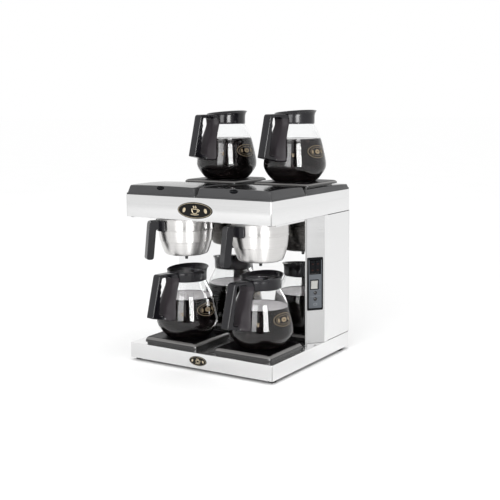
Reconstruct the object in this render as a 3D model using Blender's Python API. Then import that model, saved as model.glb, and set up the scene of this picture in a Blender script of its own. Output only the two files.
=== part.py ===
"""Commercial coffee brewer: twin drip brewer with two brewing places below and two warming plates on top.

+X is the brewer's right, +Y its back, +Z up; metres. The origin is on the ground at the middle of the
whole brewer's length and width, with its jugs on their plates.
"""

from math import atan2, cos, pi, radians, sin, sqrt

import bmesh
import bpy
from mathutils import Matrix, Vector

# ---------------------------------------------------------------- driving dimensions
WIDTH = 0.428                    # chassis, left to right
DEPTH = 0.389                    # chassis, front face to rear face
FRONT = -0.1770                  # y of the chassis front face
GAP = 0.0003                     # clearance between touching parts
SHEET = 0.0012                   # stainless sheet

BASE_BOTTOM = 0.008              # feet lift the tray by this much
BASE_TOP = 0.0464
HOOD_BOTTOM = 0.372
HOOD_TOP = 0.4278
CORNER = 0.003                   # outer radius of the folded upright edges
BEND = 0.0015                    # radius of the folded top edges

COLUMN_FACE = 0.2118             # depths are measured back from the chassis front face
CHAMFER_START = 0.2537
CHAMFER_X = 0.1804               # half width between the inner ends of the chamfers
COLUMN_RETURN = 0.018            # strip of the front sheet that wraps onto each side
MIRROR_FACE = 0.187              # the polished face stands forward of the chamfers
MIRROR_X = 0.196                 # half width of the polished face
MIRROR_RETURN = 0.0085           # depth of its folded sides

PLATE_LENGTH = 0.162             # hot plates, left to right
LOWER_PLATE = (0.004, 0.158)     # front and rear depth
UPPER_PLATE = (0.185, 0.340)
LOWER_PLATE_TOP = 0.066
UPPER_PLATE_TOP = 0.4545
PLATE_CENTRES = {"left": -0.090, "right": 0.125}
PLATE_BEVEL = 0.008              # how far the rounded rim stands out from the flat top

LID_REAR = 0.1625
LID_CROWN = 0.4530               # highest point of a fill lid
COVER_TOP = 0.442
LID_HINGE = (0.162, 0.444)       # depth and height of the lid hinge line

BREW_AXES = {"left": (-0.090, 0.082), "right": (0.131, 0.084)}
WARM_AXES = {"left": (-0.086, 0.262), "right": (0.123, 0.262)}
BASKET_TURN = {"left": 235.5, "right": 243.5}     # direction of each basket's handle, degrees from +X
JUG_TURN = -10.0                 # the jug handles point forwards and this much to the left

BASKET_TOP = 0.3697
BASKET_RADIUS = 0.070
BASKET_GRASP = 0.0712            # inner radius of the moulding that holds a basket
BREW_PLATE = (0.3735, 0.3747)    # underside and top of the sheet that closes the hood below
TANK_FLOOR = 0.388
TANK_TOP = 0.4255
TUBE_HEIGHT = 0.3797             # centre line of the hot water tubes inside the hood

PANEL_SIZE = (0.043, 0.135)
PANEL_CENTRE_Z = 0.1995
PANEL_FROM_EDGE = 0.0265         # panel centre, measured along the chamfer from its outer edge
ROCKER_TILT = radians(6.0)       # a rocker rests this far to one side of its middle

SIDES = {"left": -1, "right": 1}


def back(depth):
    """The y of a point this far behind the chassis front face."""
    return FRONT + depth


# ---------------------------------------------------------------- scene, materials and mesh helpers
def clear_scene():
    for item in list(bpy.data.objects):
        bpy.data.objects.remove(item, do_unlink=True)


def material(name, colour, roughness, metallic=0.0, alpha=1.0):
    mat = bpy.data.materials.new(name)
    mat.use_nodes = True
    shader = mat.node_tree.nodes["Principled BSDF"]
    shader.inputs["Base Color"].default_value = (*colour, 1.0)
    shader.inputs["Roughness"].default_value = roughness
    shader.inputs["Metallic"].default_value = metallic
    shader.inputs["Alpha"].default_value = alpha
    mat.diffuse_color = (*colour, alpha)
    return mat


def add_part(name, bm, mat, matrix=None, smooth=None):
    """Make an object from a bmesh; `smooth` is the angle in degrees above which an edge stays sharp."""
    mesh = bpy.data.meshes.new(name)
    bm.to_mesh(mesh)
    bm.free()
    return place_mesh(name, mesh, mat, matrix, smooth)


def place_mesh(name, mesh, mat, matrix=None, smooth=None):
    if smooth is not None:
        mesh.shade_smooth()
        mesh.set_sharp_from_angle(angle=radians(smooth))
    part = bpy.data.objects.new(name, mesh)
    bpy.context.scene.collection.objects.link(part)
    part.matrix_world = matrix or Matrix.Identity(4)
    if not mesh.materials:
        mesh.materials.append(mat)
    return part


def hide_helper(helper):
    helper.hide_render = True
    helper.display_type = "WIRE"


def boolean(part, helper, operation="DIFFERENCE"):
    hide_helper(helper)
    modifier = part.modifiers.new(helper.name, "BOOLEAN")
    modifier.operation = operation
    modifier.solver = "EXACT"
    modifier.object = helper


def united(name, bm, other_name, other_bm):
    """One mesh made of two bodies that pass through each other."""
    body = add_part(name, bm, None)
    other = add_part(other_name, other_bm, None)
    boolean(body, other, "UNION")
    graph = bpy.context.evaluated_depsgraph_get()
    mesh = bpy.data.meshes.new_from_object(body.evaluated_get(graph))
    mesh.materials.clear()
    bpy.data.objects.remove(body, do_unlink=True)
    bpy.data.objects.remove(other, do_unlink=True)
    return mesh


def loft(rings, closed=False):
    """Skin rings of equal length; the first and last are capped unless the last one joins the first."""
    bm = bmesh.new()
    layers = [[bm.verts.new(point) for point in ring] for ring in rings]
    pairs = list(zip(layers, layers[1:]))
    if closed:
        pairs.append((layers[-1], layers[0]))
    else:
        bm.faces.new(layers[0])
        bm.faces.new(layers[-1])
    count = len(layers[0])
    for lower, upper in pairs:
        for i in range(count):
            j = (i + 1) % count
            bm.faces.new((lower[i], lower[j], upper[j], upper[i]))
    bmesh.ops.recalc_face_normals(bm, faces=bm.faces)
    return bm


def circle(radius, z, segments=24):
    return [(radius * cos(2 * pi * i / segments), radius * sin(2 * pi * i / segments), z)
            for i in range(segments)]


def turned(profile, segments=24, closed=False):
    """Turn (radius, z) points about Z."""
    return loft([circle(r, z, segments) for r, z in profile], closed)


def rounded_rectangle(x, y, radius, z, steps=3, divisions=0):
    """One ring; x and y are (low, high) pairs, z a number or a function of the point."""
    centres = ((x[1] - radius, y[1] - radius), (x[0] + radius, y[1] - radius),
               (x[0] + radius, y[0] + radius), (x[1] - radius, y[0] + radius))
    outline = []
    for corner, (cx, cy) in enumerate(centres):
        arc = [(cx + radius * cos(a), cy + radius * sin(a))
               for a in (pi / 2 * (corner + i / steps) for i in range(steps + 1))]
        if outline:
            outline += between(outline[-1], arc[0], divisions)
        outline += arc
    outline += between(outline[-1], outline[0], divisions)
    height = z if callable(z) else lambda px, py: z
    return [(px, py, height(px, py)) for px, py in outline]


def between(start, end, count):
    """Evenly spaced points strictly between two plan points."""
    return [tuple(s + (e - s) * i / (count + 1) for s, e in zip(start, end)) for i in range(1, count + 1)]


def block(x, y, z):
    """A plain box from (low, high) pairs."""
    outline = [(x[0], y[0]), (x[1], y[0]), (x[1], y[1]), (x[0], y[1])]
    return loft([[(px, py, height) for px, py in outline] for height in z])


def prism(outline, z):
    """A plan outline carried from z[0] to z[1]."""
    return loft([[(px, py, height) for px, py in outline] for height in z])


def inset(span, amount):
    return span[0] + amount, span[1] - amount


def drill(part, name, place, radius, z, axis="Z"):
    """Cut a round hole whose axis passes through `place`, from z[0] to z[1] along that axis."""
    turn = Matrix.Rotation(-pi / 2, 4, "X") if axis == "Y" else Matrix.Identity(4)
    cutter = add_part(name, turned([(radius, z[0]), (radius, z[1])], 12), None,
                      Matrix.Translation(place) @ turn)
    boolean(part, cutter)


# ---------------------------------------------------------------- base
def folded_pan(x, y, z, radius=CORNER):
    """A sheet pan with folded edges, open underneath."""
    rings = [rounded_rectangle(inset(x, BEND), inset(y, BEND), radius - BEND, z[1]),
             rounded_rectangle(inset(x, BEND * 0.3), inset(y, BEND * 0.3), radius - BEND * 0.3,
                               z[1] - BEND * 0.3),
             rounded_rectangle(x, y, radius, z[1] - BEND),
             rounded_rectangle(x, y, radius, z[0]),
             rounded_rectangle(inset(x, SHEET), inset(y, SHEET), radius - SHEET, z[0]),
             rounded_rectangle(inset(x, SHEET), inset(y, SHEET), radius - SHEET, z[1] - SHEET)]
    return loft(rings)


def make_base(mats):
    x, y = (-WIDTH / 2, WIDTH / 2), (back(0), back(DEPTH))
    tray = add_part("base_tray", folded_pan(x, y, (BASE_BOTTOM, BASE_TOP)), mats["steel"])
    lead_hole = 0.008
    for side, centre in PLATE_CENTRES.items():
        through = (BASE_TOP - 0.01, BASE_TOP + 0.01)
        drill(tray, f"lead_hole_{side}", (centre, back(0.140), 0), lead_hole, through)
        drill(tray, f"column_hole_{side}", (centre, back(0.345), 0), lead_hole, through)
    drill(tray, "gland_hole", (GLAND_X, back(DEPTH), GLAND_Z), GLAND_THREAD + GAP, (-0.01, 0.01), axis="Y")

    floor_x, floor_y = inset(x, SHEET + GAP), inset(y, SHEET + GAP)
    floor_z = (BASE_BOTTOM + 0.001, BASE_BOTTOM + 0.001 + SHEET)
    rings = [rounded_rectangle(floor_x, floor_y, CORNER - SHEET, height) for height in floor_z]
    add_part("base_floor", loft(rings), mats["steel"])

    foot_top = floor_z[0] - GAP
    foot_inset, depths = 0.014, {"front": 0.022, "rear": DEPTH - 0.034}
    profile = [(0.0095, 0.0), (0.0115, 0.0015), (0.0125, foot_top)]
    for side, sign in SIDES.items():
        for end, depth in depths.items():
            place = Matrix.Translation((sign * (WIDTH / 2 - foot_inset), back(depth), 0))
            add_part(f"foot_{end}_{side}", turned(profile, 20), mats["rubber"], place, 40)

    block_z = floor_z[1] + GAP
    terminal = block((-0.135, -0.075), (back(0.325), back(0.347)), (block_z, block_z + 0.018))
    add_part("terminal_block", terminal, mats["white_plastic"])


GLAND_X = -0.150
GLAND_Z = 0.027
GLAND_THREAD = 0.009


def make_gland(mats):
    """Cord gland in the rear wall of the tray, turned about the Y axis."""
    nut, bore = 0.0125, 0.004
    outside = [(GLAND_THREAD, -0.009), (GLAND_THREAD, GAP), (nut, GAP), (nut, 0.005), (0.0105, 0.006),
               (0.009, 0.009), (0.0065, 0.011)]
    inside = [(bore, 0.011), (bore, -0.009)]
    turn = Matrix.Rotation(-pi / 2, 4, "X")
    add_part("cable_gland", turned(outside + inside, 12, closed=True), mats["black_plastic"],
             Matrix.Translation((GLAND_X, back(DEPTH), GLAND_Z)) @ turn, 40)


# ---------------------------------------------------------------- column
def offset_outline(line, distance):
    """The line shifted to its right-hand side, mitred at its corners."""
    shifted = []
    for i, point in enumerate(line):
        runs = [line[i] - line[i - 1]] if i else []
        if i + 1 < len(line):
            runs.append(line[i + 1] - line[i])
        normals = [Vector((run.y, -run.x)).normalized() for run in runs]
        mitre = sum(normals, Vector((0, 0))).normalized()
        shifted.append(point + mitre * distance / mitre.dot(normals[0]))
    return shifted


def panel_frame(sign):
    """Placement of a control panel: X across its face, Y into the machine, Z up."""
    outer = Vector((sign * WIDTH / 2, back(CHAMFER_START), 0))
    inner = Vector((sign * CHAMFER_X, back(COLUMN_FACE), 0))
    along = (inner - outer).normalized()
    centre = outer + along * PANEL_FROM_EDGE + Vector((0, 0, PANEL_CENTRE_Z))
    across = along * -sign
    angle = atan2(across.y, across.x)
    return Matrix.Translation(centre) @ Matrix.Rotation(angle, 4, "Z")


def make_column(mats):
    half, z = WIDTH / 2, (BASE_TOP + GAP, HOOD_BOTTOM - GAP)
    wrap_end = CHAMFER_START + COLUMN_RETURN
    right = [(half, back(wrap_end)), (half, back(CHAMFER_START)), (CHAMFER_X, back(COLUMN_FACE)),
             (MIRROR_X, back(MIRROR_FACE + MIRROR_RETURN)), (MIRROR_X, back(MIRROR_FACE))]
    outline = [Vector(point) for point in right + [(-px, py) for px, py in right[::-1]]]
    inner = offset_outline(outline, SHEET)
    front = add_part("column_front", prism(outline + inner[::-1], z), mats["mirror_steel"])
    for side, sign in SIDES.items():
        width, height = (size / 2 - 0.002 for size in PANEL_SIZE)
        hole = block((-width, width), (-0.02, 0.02), (-height, height))
        cutter = add_part(f"panel_hole_{side}", hole, None, panel_frame(sign))
        boolean(front, cutter)

        x = sorted((sign * half, sign * (half - SHEET)))
        y = (back(wrap_end + GAP), back(DEPTH - SHEET - GAP))
        add_part(f"column_side_{side}", block(x, y, z), mats["steel"])

    rear = add_part("rear_panel", block((-half, half), (back(DEPTH - SHEET), back(DEPTH)), z), mats["steel"])
    slots, slot_pitch, slot_half = 6, 0.012, (0.030, 0.002)
    for side, sign in SIDES.items():
        for i in range(slots):
            height = 0.250 + i * slot_pitch
            slot = block((sign * 0.11 - slot_half[0], sign * 0.11 + slot_half[0]),
                         (back(DEPTH - 0.01), back(DEPTH + 0.01)),
                         (height - slot_half[1], height + slot_half[1]))
            cutter = add_part(f"vent_{side}_{i}", slot, None)
            boolean(rear, cutter)


# ---------------------------------------------------------------- control panels
WINDOW_Z = 0.0439                # centres measured up from the middle of the panel
WINDOW = (0.0280, 0.0353)
TWIN_ROCKER = (0.0130, 0.0330)
BREW_SWITCH_Z = -0.0016
BREW_SWITCH_SHIFT = -0.0022      # the single rocker sits a little towards the column's middle
BREW_ROCKER = (0.0180, 0.0210)
ROCKER_PIVOT = 0.001             # depth of a rocker's axis behind the chamfer's face
BEZEL = 0.0024                   # the panel stands this proud of the chamfer


def make_panels(mats):
    width, height = (size / 2 for size in PANEL_SIZE)
    neck_w, neck_h = width - 0.0025, height - 0.0025
    sections = ((width - 0.0008, height - 0.0008, -BEZEL), (width, height, -BEZEL + 0.0008),
                (width, height, -GAP), (neck_w, neck_h, -GAP), (neck_w, neck_h, 0.009))
    for side, sign in SIDES.items():
        frame = panel_frame(sign)
        rings = [[(px, depth, pz) for px, pz, _ in rounded_rectangle((-w, w), (-h, h), 0.002, 0)]
                 for w, h, depth in sections]
        panel = add_part(f"control_panel_{side}", loft(rings), mats["gloss_black"], frame)
        shift = BREW_SWITCH_SHIFT * sign
        clear = 0.0008
        holes = (("plates", 0, WINDOW_Z, WINDOW[0] / 2, WINDOW[1] / 2),
                 ("brew", shift, BREW_SWITCH_Z, BREW_ROCKER[0] / 2 + clear, BREW_ROCKER[1] / 2 + clear))
        for label, x, z, half_w, half_h in holes:
            cutter = add_part(f"{label}_hole_{side}", block((x - half_w, x + half_w), (-0.02, 0.02),
                                                            (z - half_h, z + half_h)), None, frame)
            boolean(panel, cutter)

        switches = (("plate_rocker_upper", -0.0069, WINDOW_Z, TWIN_ROCKER, "gloss_black"),
                    ("plate_rocker_lower", 0.0069, WINDOW_Z, TWIN_ROCKER, "gloss_black"),
                    ("brew_rocker", shift, BREW_SWITCH_Z, BREW_ROCKER, "white_plastic"))
        for label, x, z, size, finish in switches:
            pivot = frame @ Matrix.Translation((x, ROCKER_PIVOT, z)) @ Matrix.Rotation(ROCKER_TILT, 4, "X")
            add_part(f"{label}_{side}", rocker(*size), mats[finish], pivot)


def rocker(width, height):
    """A dished rocker cap, its axis along X through the origin, its face towards -Y."""
    half = height / 2
    face, dish, root = -0.0040, -0.0028, 0.0045
    side_view = [(face, -half), (-0.0034, -half * 0.5), (dish, 0.0), (-0.0034, half * 0.5), (face, half),
                 (-0.0005, half), (root, half * 0.45), (root, -half * 0.45), (-0.0005, -half)]
    return loft([[(x, y, z) for y, z in side_view] for x in (-width / 2, width / 2)])


# ---------------------------------------------------------------- hood, lids and tanks
def make_hood(mats):
    x, y = (-WIDTH / 2, WIDTH / 2), (back(0), back(DEPTH))
    lip = 0.0006
    rings = [rounded_rectangle(x, y, CORNER, HOOD_BOTTOM + lip),
             rounded_rectangle(x, y, CORNER, HOOD_TOP - lip),
             rounded_rectangle(inset(x, lip), inset(y, lip), CORNER - lip, HOOD_TOP),
             rounded_rectangle(inset(x, SHEET), inset(y, SHEET), CORNER - SHEET, HOOD_TOP),
             rounded_rectangle(inset(x, SHEET), inset(y, SHEET), CORNER - SHEET, HOOD_BOTTOM),
             rounded_rectangle(inset(x, lip), inset(y, lip), CORNER - lip, HOOD_BOTTOM)]
    add_part("hood_shell", loft(rings, closed=True), mats["steel"])

    plate_x, plate_y = inset(x, SHEET + GAP), inset(y, SHEET + GAP)
    rings = [rounded_rectangle(plate_x, plate_y, CORNER - SHEET, height) for height in BREW_PLATE]
    plate = add_part("brew_plate", loft(rings), mats["steel"])
    through = (BREW_PLATE[0] - 0.01, BREW_PLATE[1] + 0.01)
    for side, sign in SIDES.items():
        brew_x, brew_depth = BREW_AXES[side]
        drill(plate, f"spray_hole_{side}", (brew_x, back(brew_depth), 0), SPRAY_NECK + 0.0006, through)
        drill(plate, f"riser_hole_{side}", (sign * HEATER_X, back(HEATER_DEPTH - 0.002), 0), 0.011, through)
        drill(plate, f"feed_hole_{side}", (sign * FEED_X, back(FEED_DEPTH), 0), 0.007, through)


def lid_height(side_sign):
    """Crowned top of a fill lid: a little lower at its ends, its front and its rear."""
    middle, half, ridge = side_sign * WIDTH / 4, WIDTH / 4, 0.062
    end_drop, front_drop, rear_drop = 0.0015, 0.0015, 0.0032

    def height(x, y):
        depth = y - FRONT
        across = (x - middle) / half
        along = (depth - ridge) / (ridge if depth < ridge else LID_REAR - ridge)
        return LID_CROWN - end_drop * across ** 2 - (front_drop if along < 0 else rear_drop) * along ** 2
    return height


def half_span(sign, clearance):
    """The x span of one half of the top, from the middle joint to the chassis side."""
    return tuple(sorted((sign * clearance, sign * WIDTH / 2)))


def make_lids(mats):
    foot = HOOD_TOP + GAP
    for side, sign in SIDES.items():
        x, y = half_span(sign, 0.0004), (back(0.0006), back(LID_REAR))
        top = lid_height(sign)

        def ring(amount, z, radius):
            return rounded_rectangle(inset(x, amount), inset(y, amount), radius, z, steps=2, divisions=3)

        outer = [ring(0.0, foot, 0.004), ring(0.0, foot + 0.0032, 0.004), ring(0.0018, foot + 0.0040, 0.004)]
        outer += [ring(0.0060, lambda px, py: top(px, py) - 0.0022, 0.006),
                  ring(0.0070, lambda px, py: top(px, py) - 0.0006, 0.006), ring(0.0088, top, 0.006)]
        outer += [ring(amount, top, 0.006) for amount in (0.035, 0.065)]
        front_wall = 0.016
        hollow = [rounded_rectangle(inset(x, amount), (y[0] + front_wall, y[1] - amount), 0.004, z, 2, 3)
                  for amount, z in ((0.0105, 0.4450), (0.0045, foot))]
        lid = add_part(f"fill_lid_{side}", loft(outer[::-1] + hollow[::-1]), mats["gloss_black"], smooth=35)

        notch = bmesh.new()
        bmesh.ops.create_uvsphere(notch, u_segments=16, v_segments=8, radius=1.0)
        size = Matrix.Diagonal((0.018, 0.0080, 0.0062, 1.0))
        bmesh.ops.transform(notch, matrix=size, verts=notch.verts)
        cutter = add_part(f"finger_notch_{side}", notch, None,
                          Matrix.Translation((sign * 0.108, back(0.0075), 0.4535)))
        boolean(lid, cutter)

        pivot = Matrix.Translation((0, back(LID_HINGE[0]), LID_HINGE[1]))
        lid.data.transform(pivot.inverted())
        lid.matrix_world = pivot


def make_top_covers(mats):
    foot = HOOD_TOP + GAP
    flat_end, rear_fall = 0.342, 0.002
    for side, sign in SIDES.items():
        x, y = half_span(sign, 0.0004), (back(LID_REAR + 0.0006), back(DEPTH - 0.0006))

        def top(px, py):
            return COVER_TOP - rear_fall * max(0.0, (py - back(flat_end)) / (y[1] - back(flat_end)))

        def ring(amount, z, radius=0.004):
            return rounded_rectangle(inset(x, amount), inset(y, amount), radius, z, divisions=1)

        outer = [ring(0.0, foot), ring(0.0, foot + 0.0032), ring(0.0015, foot + 0.0040),
                 ring(0.0040, lambda px, py: top(px, py) - 0.0015), ring(0.0055, top)]
        hollow = [ring(0.0075, COVER_TOP - 0.0045), ring(0.0030, foot)]
        shell = loft(outer[::-1] + hollow[::-1])
        cover = add_part(f"top_cover_{side}", shell, mats["gloss_black"], smooth=35)
        drill(cover, f"cover_hole_{side}", (PLATE_CENTRES[side], back(0.325), 0), 0.007,
              (COVER_TOP - 0.02, COVER_TOP + 0.02))


def make_tanks(mats):
    wall = 0.002
    for side, sign in SIDES.items():
        x = tuple(sorted((sign * 0.006, sign * 0.206)))
        y = (back(0.006), back(0.300))
        rings = [rounded_rectangle(x, y, 0.010, TANK_FLOOR), rounded_rectangle(x, y, 0.010, TANK_TOP),
                 rounded_rectangle(inset(x, wall), inset(y, wall), 0.008, TANK_TOP),
                 rounded_rectangle(inset(x, wall), inset(y, wall), 0.008, TANK_FLOOR + wall)]
        tank = add_part(f"water_tank_{side}", loft(rings), mats["tank_plastic"])
        drill(tank, f"tank_outlet_{side}", (sign * FEED_X, back(FEED_DEPTH), 0), TUBE_RADIUS + 0.0004,
              (TANK_FLOOR - 0.01, TANK_FLOOR + 0.01))


# ---------------------------------------------------------------- water path
HEATER_X, HEATER_DEPTH = 0.110, 0.300
HEATER_SPAN = (0.0805, 0.290)
FEED_X, FEED_DEPTH = 0.050, 0.285
TUBE_RADIUS = 0.0045
SPRAY_NECK = 0.009


def rounded_route(points, radius, steps=4):
    """Straight runs joined by arcs of the given radius."""
    points = [Vector(p) for p in points]
    route = [points[0]]
    for before, corner, after in zip(points, points[1:], points[2:]):
        into, out = (before - corner).normalized(), (after - corner).normalized()
        half = into.angle(out) / 2
        reach = radius * cos(half) / sin(half)
        middle = corner + (into + out).normalized() * radius / sin(half)
        start, end = corner + into * reach - middle, corner + out * reach - middle
        turn = start.angle(end)
        for i in range(steps + 1):
            share = i / steps
            route.append(middle + (start * sin((1 - share) * turn) + end * sin(share * turn)) / sin(turn))
    route.append(points[-1])
    return route


def tube(name, route, radius, mat):
    curve = bpy.data.curves.new(name, "CURVE")
    curve.dimensions = "3D"
    curve.bevel_depth = radius
    curve.bevel_resolution = 1
    curve.use_fill_caps = True
    spline = curve.splines.new("POLY")
    spline.points.add(len(route) - 1)
    for place, point in zip(spline.points, route):
        place.co = (*point, 1.0)
    curve.materials.append(mat)
    part = bpy.data.objects.new(name, curve)
    bpy.context.scene.collection.objects.link(part)


def make_water_path(mats):
    low, high = HEATER_SPAN
    nozzle, shell = 0.006, 0.030
    heater = [(nozzle, low), (nozzle, low + 0.012), (shell - 0.006, low + 0.012), (shell, low + 0.018),
              (shell, high - 0.018), (shell - 0.006, high - 0.012), (nozzle, high - 0.012), (nozzle, high)]
    spray = [(0.030, 0.3705), (0.034, 0.3712), (0.034, BREW_PLATE[0] - GAP),
             (SPRAY_NECK, BREW_PLATE[0] - GAP), (SPRAY_NECK, 0.3860)]
    for side, sign in SIDES.items():
        x, y = sign * HEATER_X, back(HEATER_DEPTH)
        place = Matrix.Translation((x, y, 0))
        add_part(f"flow_heater_{side}", turned(heater, 16), mats["aluminium"], place, 40)
        brew_x, brew_depth = BREW_AXES[side]
        add_part(f"spray_head_{side}", turned(spray, 16), mats["white_plastic"],
                 Matrix.Translation((brew_x, back(brew_depth), 0)), 40)

        feed_x, feed_y = sign * FEED_X, back(FEED_DEPTH)
        feed = [(feed_x, feed_y, TANK_FLOOR + 0.004), (feed_x, feed_y, 0.062), (x, y, 0.062),
                (x, y, low - GAP)]
        tube(f"feed_tube_{side}", rounded_route(feed, 0.012), TUBE_RADIUS, mats["silicone"])
        riser = [(x, y, high + GAP), (x, y, TUBE_HEIGHT), (x, back(0.170), TUBE_HEIGHT),
                 (brew_x, back(0.130), TUBE_HEIGHT),
                 (brew_x, back(brew_depth) + SPRAY_NECK + 0.0008, TUBE_HEIGHT)]
        tube(f"riser_tube_{side}", rounded_route(riser, 0.015), TUBE_RADIUS, mats["silicone"])


# ---------------------------------------------------------------- hot plates
def hot_plate(span_y, top, rim_drop, skirt_inset, foot):
    """A pressed plate with a rounded rim, a lip and a set-back skirt, open underneath."""
    x, thick, lip = (-PLATE_LENGTH / 2, PLATE_LENGTH / 2), 0.0015, 0.0020

    def ring(amount, z, radius=0.008):
        return rounded_rectangle(inset(x, amount), inset(span_y, amount), radius, z, steps=3)

    return loft([ring(PLATE_BEVEL + 0.0008, top), ring(PLATE_BEVEL - 0.0012, top - 0.0004),
                 ring(PLATE_BEVEL * 0.40, top - rim_drop * 0.22),
                 ring(PLATE_BEVEL * 0.10, top - rim_drop * 0.58),
                 ring(0.0, top - rim_drop), ring(0.0, top - rim_drop - lip),
                 ring(skirt_inset, top - rim_drop - lip), ring(skirt_inset, foot),
                 ring(skirt_inset + thick, foot), ring(max(skirt_inset, PLATE_BEVEL) + thick, top - thick)])


def make_hot_plates(mats):
    levels = (("lower", LOWER_PLATE, LOWER_PLATE_TOP, 0.0115, 0.0030, BASE_TOP + GAP),
              ("upper", UPPER_PLATE, UPPER_PLATE_TOP, 0.0060, 0.0095, COVER_TOP + GAP))
    element = [(0.058, 0.0), (0.060, 0.0006), (0.060, 0.0040), (0.014, 0.0040), (0.014, 0.0)]
    for level, span, top, rim_drop, skirt_inset, foot in levels:
        for side, x in PLATE_CENTRES.items():
            middle = back(sum(span) / 2)
            half = (span[1] - span[0]) / 2
            shape = hot_plate((-half, half), top, rim_drop, skirt_inset, foot)
            place = Matrix.Translation((x, middle, 0))
            add_part(f"hot_plate_{level}_{side}", shape, mats["enamel"], place, 35)
            seat = top - 0.0015 - GAP - 0.0040
            add_part(f"plate_heater_{level}_{side}", turned(element, 16, closed=True), mats["aluminium"],
                     place @ Matrix.Translation((0, 0, seat)))


# ---------------------------------------------------------------- brew baskets
def make_baskets(mats):
    wall, nozzle, bore = 0.0010, 0.0038, 0.0020
    outside = [(nozzle, 0.2620), (nozzle, 0.2755), (0.0470, 0.2763), (0.0535, 0.2785), (0.0570, 0.2850),
               (0.0608, 0.2950), (0.0658, 0.3125), (0.0692, 0.3330), (0.0710, 0.3395), (0.0710, 0.3425),
               (BASKET_RADIUS, 0.3450),
               (BASKET_RADIUS, BASKET_TOP - 0.0015), (0.0745, BASKET_TOP - 0.0015), (0.0745, BASKET_TOP)]
    inside = [(BASKET_RADIUS - wall, BASKET_TOP), (BASKET_RADIUS - wall, 0.3430), (0.0680, 0.3330),
              (0.0646, 0.3125), (0.0596, 0.2952), (0.0558, 0.2852), (0.0526, 0.2797), (0.0468, 0.2776),
              (bore, 0.2768), (bore, 0.2620)]
    moulding = basket_handle_mesh()
    for side, (x, depth) in BREW_AXES.items():
        turn = Matrix.Rotation(radians(BASKET_TURN[side]), 4, "Z")
        place = Matrix.Translation((x, back(depth), 0)) @ turn
        bowl = turned(outside + inside, 24, closed=True)
        add_part(f"filter_basket_{side}", bowl, mats["basket_steel"], place, 35)
        place_mesh(f"basket_handle_{side}", moulding, mats["black_plastic"], place, 35)
        make_rail(side, x, depth, mats)


def basket_grip():
    """Arm and leaning grip, drawn in the radial plane and given a width."""
    root = BASKET_GRASP + 0.0010         # the arm starts inside the bracket
    profile = [(root, 0.3640), (0.0905, 0.3640), (0.0962, 0.3612), (0.0982, 0.3555),
               (0.1070, 0.2740), (0.1056, 0.2690), (0.1010, 0.2675), (0.0940, 0.2675),
               (0.0900, 0.2700), (0.0887, 0.2750), (0.0812, 0.3400), (0.0800, 0.3435),
               (0.0775, 0.3440), (0.0765, 0.3400), (root, 0.3400)]
    half, edge = 0.0115, 0.0020
    sections = ((-half, edge), (-half + edge, 0.0), (half - edge, 0.0), (half, edge))
    centre, reach = (0.090, 0.330), 0.04
    rings = []
    for offset, shrink in sections:
        scale = 1 - shrink / reach
        rings.append([(max(root, centre[0] + (r - centre[0]) * scale), offset,
                       centre[1] + (z - centre[1]) * scale) for r, z in profile])
    return loft(rings)


def basket_bracket():
    """Curved plate that holds the bowl below its flange; its outer edges are eased."""
    steps, spread = 8, radians(27)
    inner, outer, ease, z = BASKET_GRASP, BASKET_GRASP + 0.0040, 0.0012, (0.3378, 0.3645)
    section = [(inner, z[0]), (outer - ease, z[0]), (outer, z[0] + ease), (outer, z[1] - ease),
               (outer - ease, z[1]), (inner, z[1])]
    rings = []
    for i in range(steps + 1):
        angle = spread * (2 * i / steps - 1)
        rings.append([(r * cos(angle), r * sin(angle), height) for r, height in section])
    return loft(rings)


def basket_handle_mesh():
    """Bracket and grip as one moulding."""
    return united("basket_bracket", basket_bracket(), "basket_grip", basket_grip())


def make_rail(side, x, depth, mats):
    """U-shaped slide under the hood; its inward lip carries the basket's flange."""
    outer, web, lip = 0.0777, 0.0765, 0.0713
    start, rear = 0.030, depth + outer

    def outline(inner, z):
        inner_rear = rear - (outer - inner)
        plan = [(-outer, start), (-outer, rear), (outer, rear), (outer, start),
                (inner, start), (inner, inner_rear), (-inner, inner_rear), (-inner, start)]
        return [(x + px, back(d), z) for px, d in plan]

    flange = BASKET_TOP - 0.0015 - GAP
    rings = [outline(web, BREW_PLATE[0] - GAP), outline(web, flange),
             outline(lip, flange), outline(lip, flange - SHEET)]
    add_part(f"basket_rail_{side}", loft(rings), mats["steel"])


# ---------------------------------------------------------------- jugs
GLASS_WALL = 0.002
JUG_SEGMENTS = 20
COLLAR_FOOT = 0.1430
RIM_HEIGHT, RIM_TILT = 0.1720, 0.0044       # the rim rises towards the spout, opposite the handle
RIM_SHIFT = 0.0033               # and its circle is set over towards the spout
HANDLE_HALF = 0.012


def jug_glass():
    outside = [(0.0530, 0.0), (0.0635, 0.0090), (0.0720, 0.0210), (0.0785, 0.0345), (0.0785, 0.0450),
               (0.0725, 0.0800), (0.0665, 0.1050), (0.0590, 0.1220), (0.0480, 0.1430), (0.0468, 0.1490),
               (0.0468, 0.1630)]
    inside = [(r - GLASS_WALL, z) for r, z in outside[:0:-1]] + [(0.0520, GLASS_WALL)]
    return turned(outside + inside, JUG_SEGMENTS)


def jug_collar():
    """Collar round the glass neck, flared to a rim that rises towards the spout at +Y."""
    profile = [(0.0485, COLLAR_FOOT, 0.0), (0.0500, COLLAR_FOOT, 0.0), (0.0503, 0.1640, 0.25),
               (0.0512, 0.1685, 0.70), (0.0532, RIM_HEIGHT, 1.0), (0.0514, RIM_HEIGHT + 0.0006, 1.0),
               (0.0455, 0.1652, 0.10), (0.0455, 0.1636, 0.0), (0.0474, 0.1634, 0.0), (0.0474, 0.1480, 0.0)]
    rings = []
    for radius, height, lift in profile:
        ring = []
        for i in range(JUG_SEGMENTS):
            angle = 2 * pi * i / JUG_SEGMENTS
            rise = RIM_TILT * lift * sin(angle)
            ring.append((radius * cos(angle), radius * sin(angle) + RIM_SHIFT * lift ** 2, height + rise))
        rings.append(ring)
    return loft(rings, closed=True)


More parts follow.
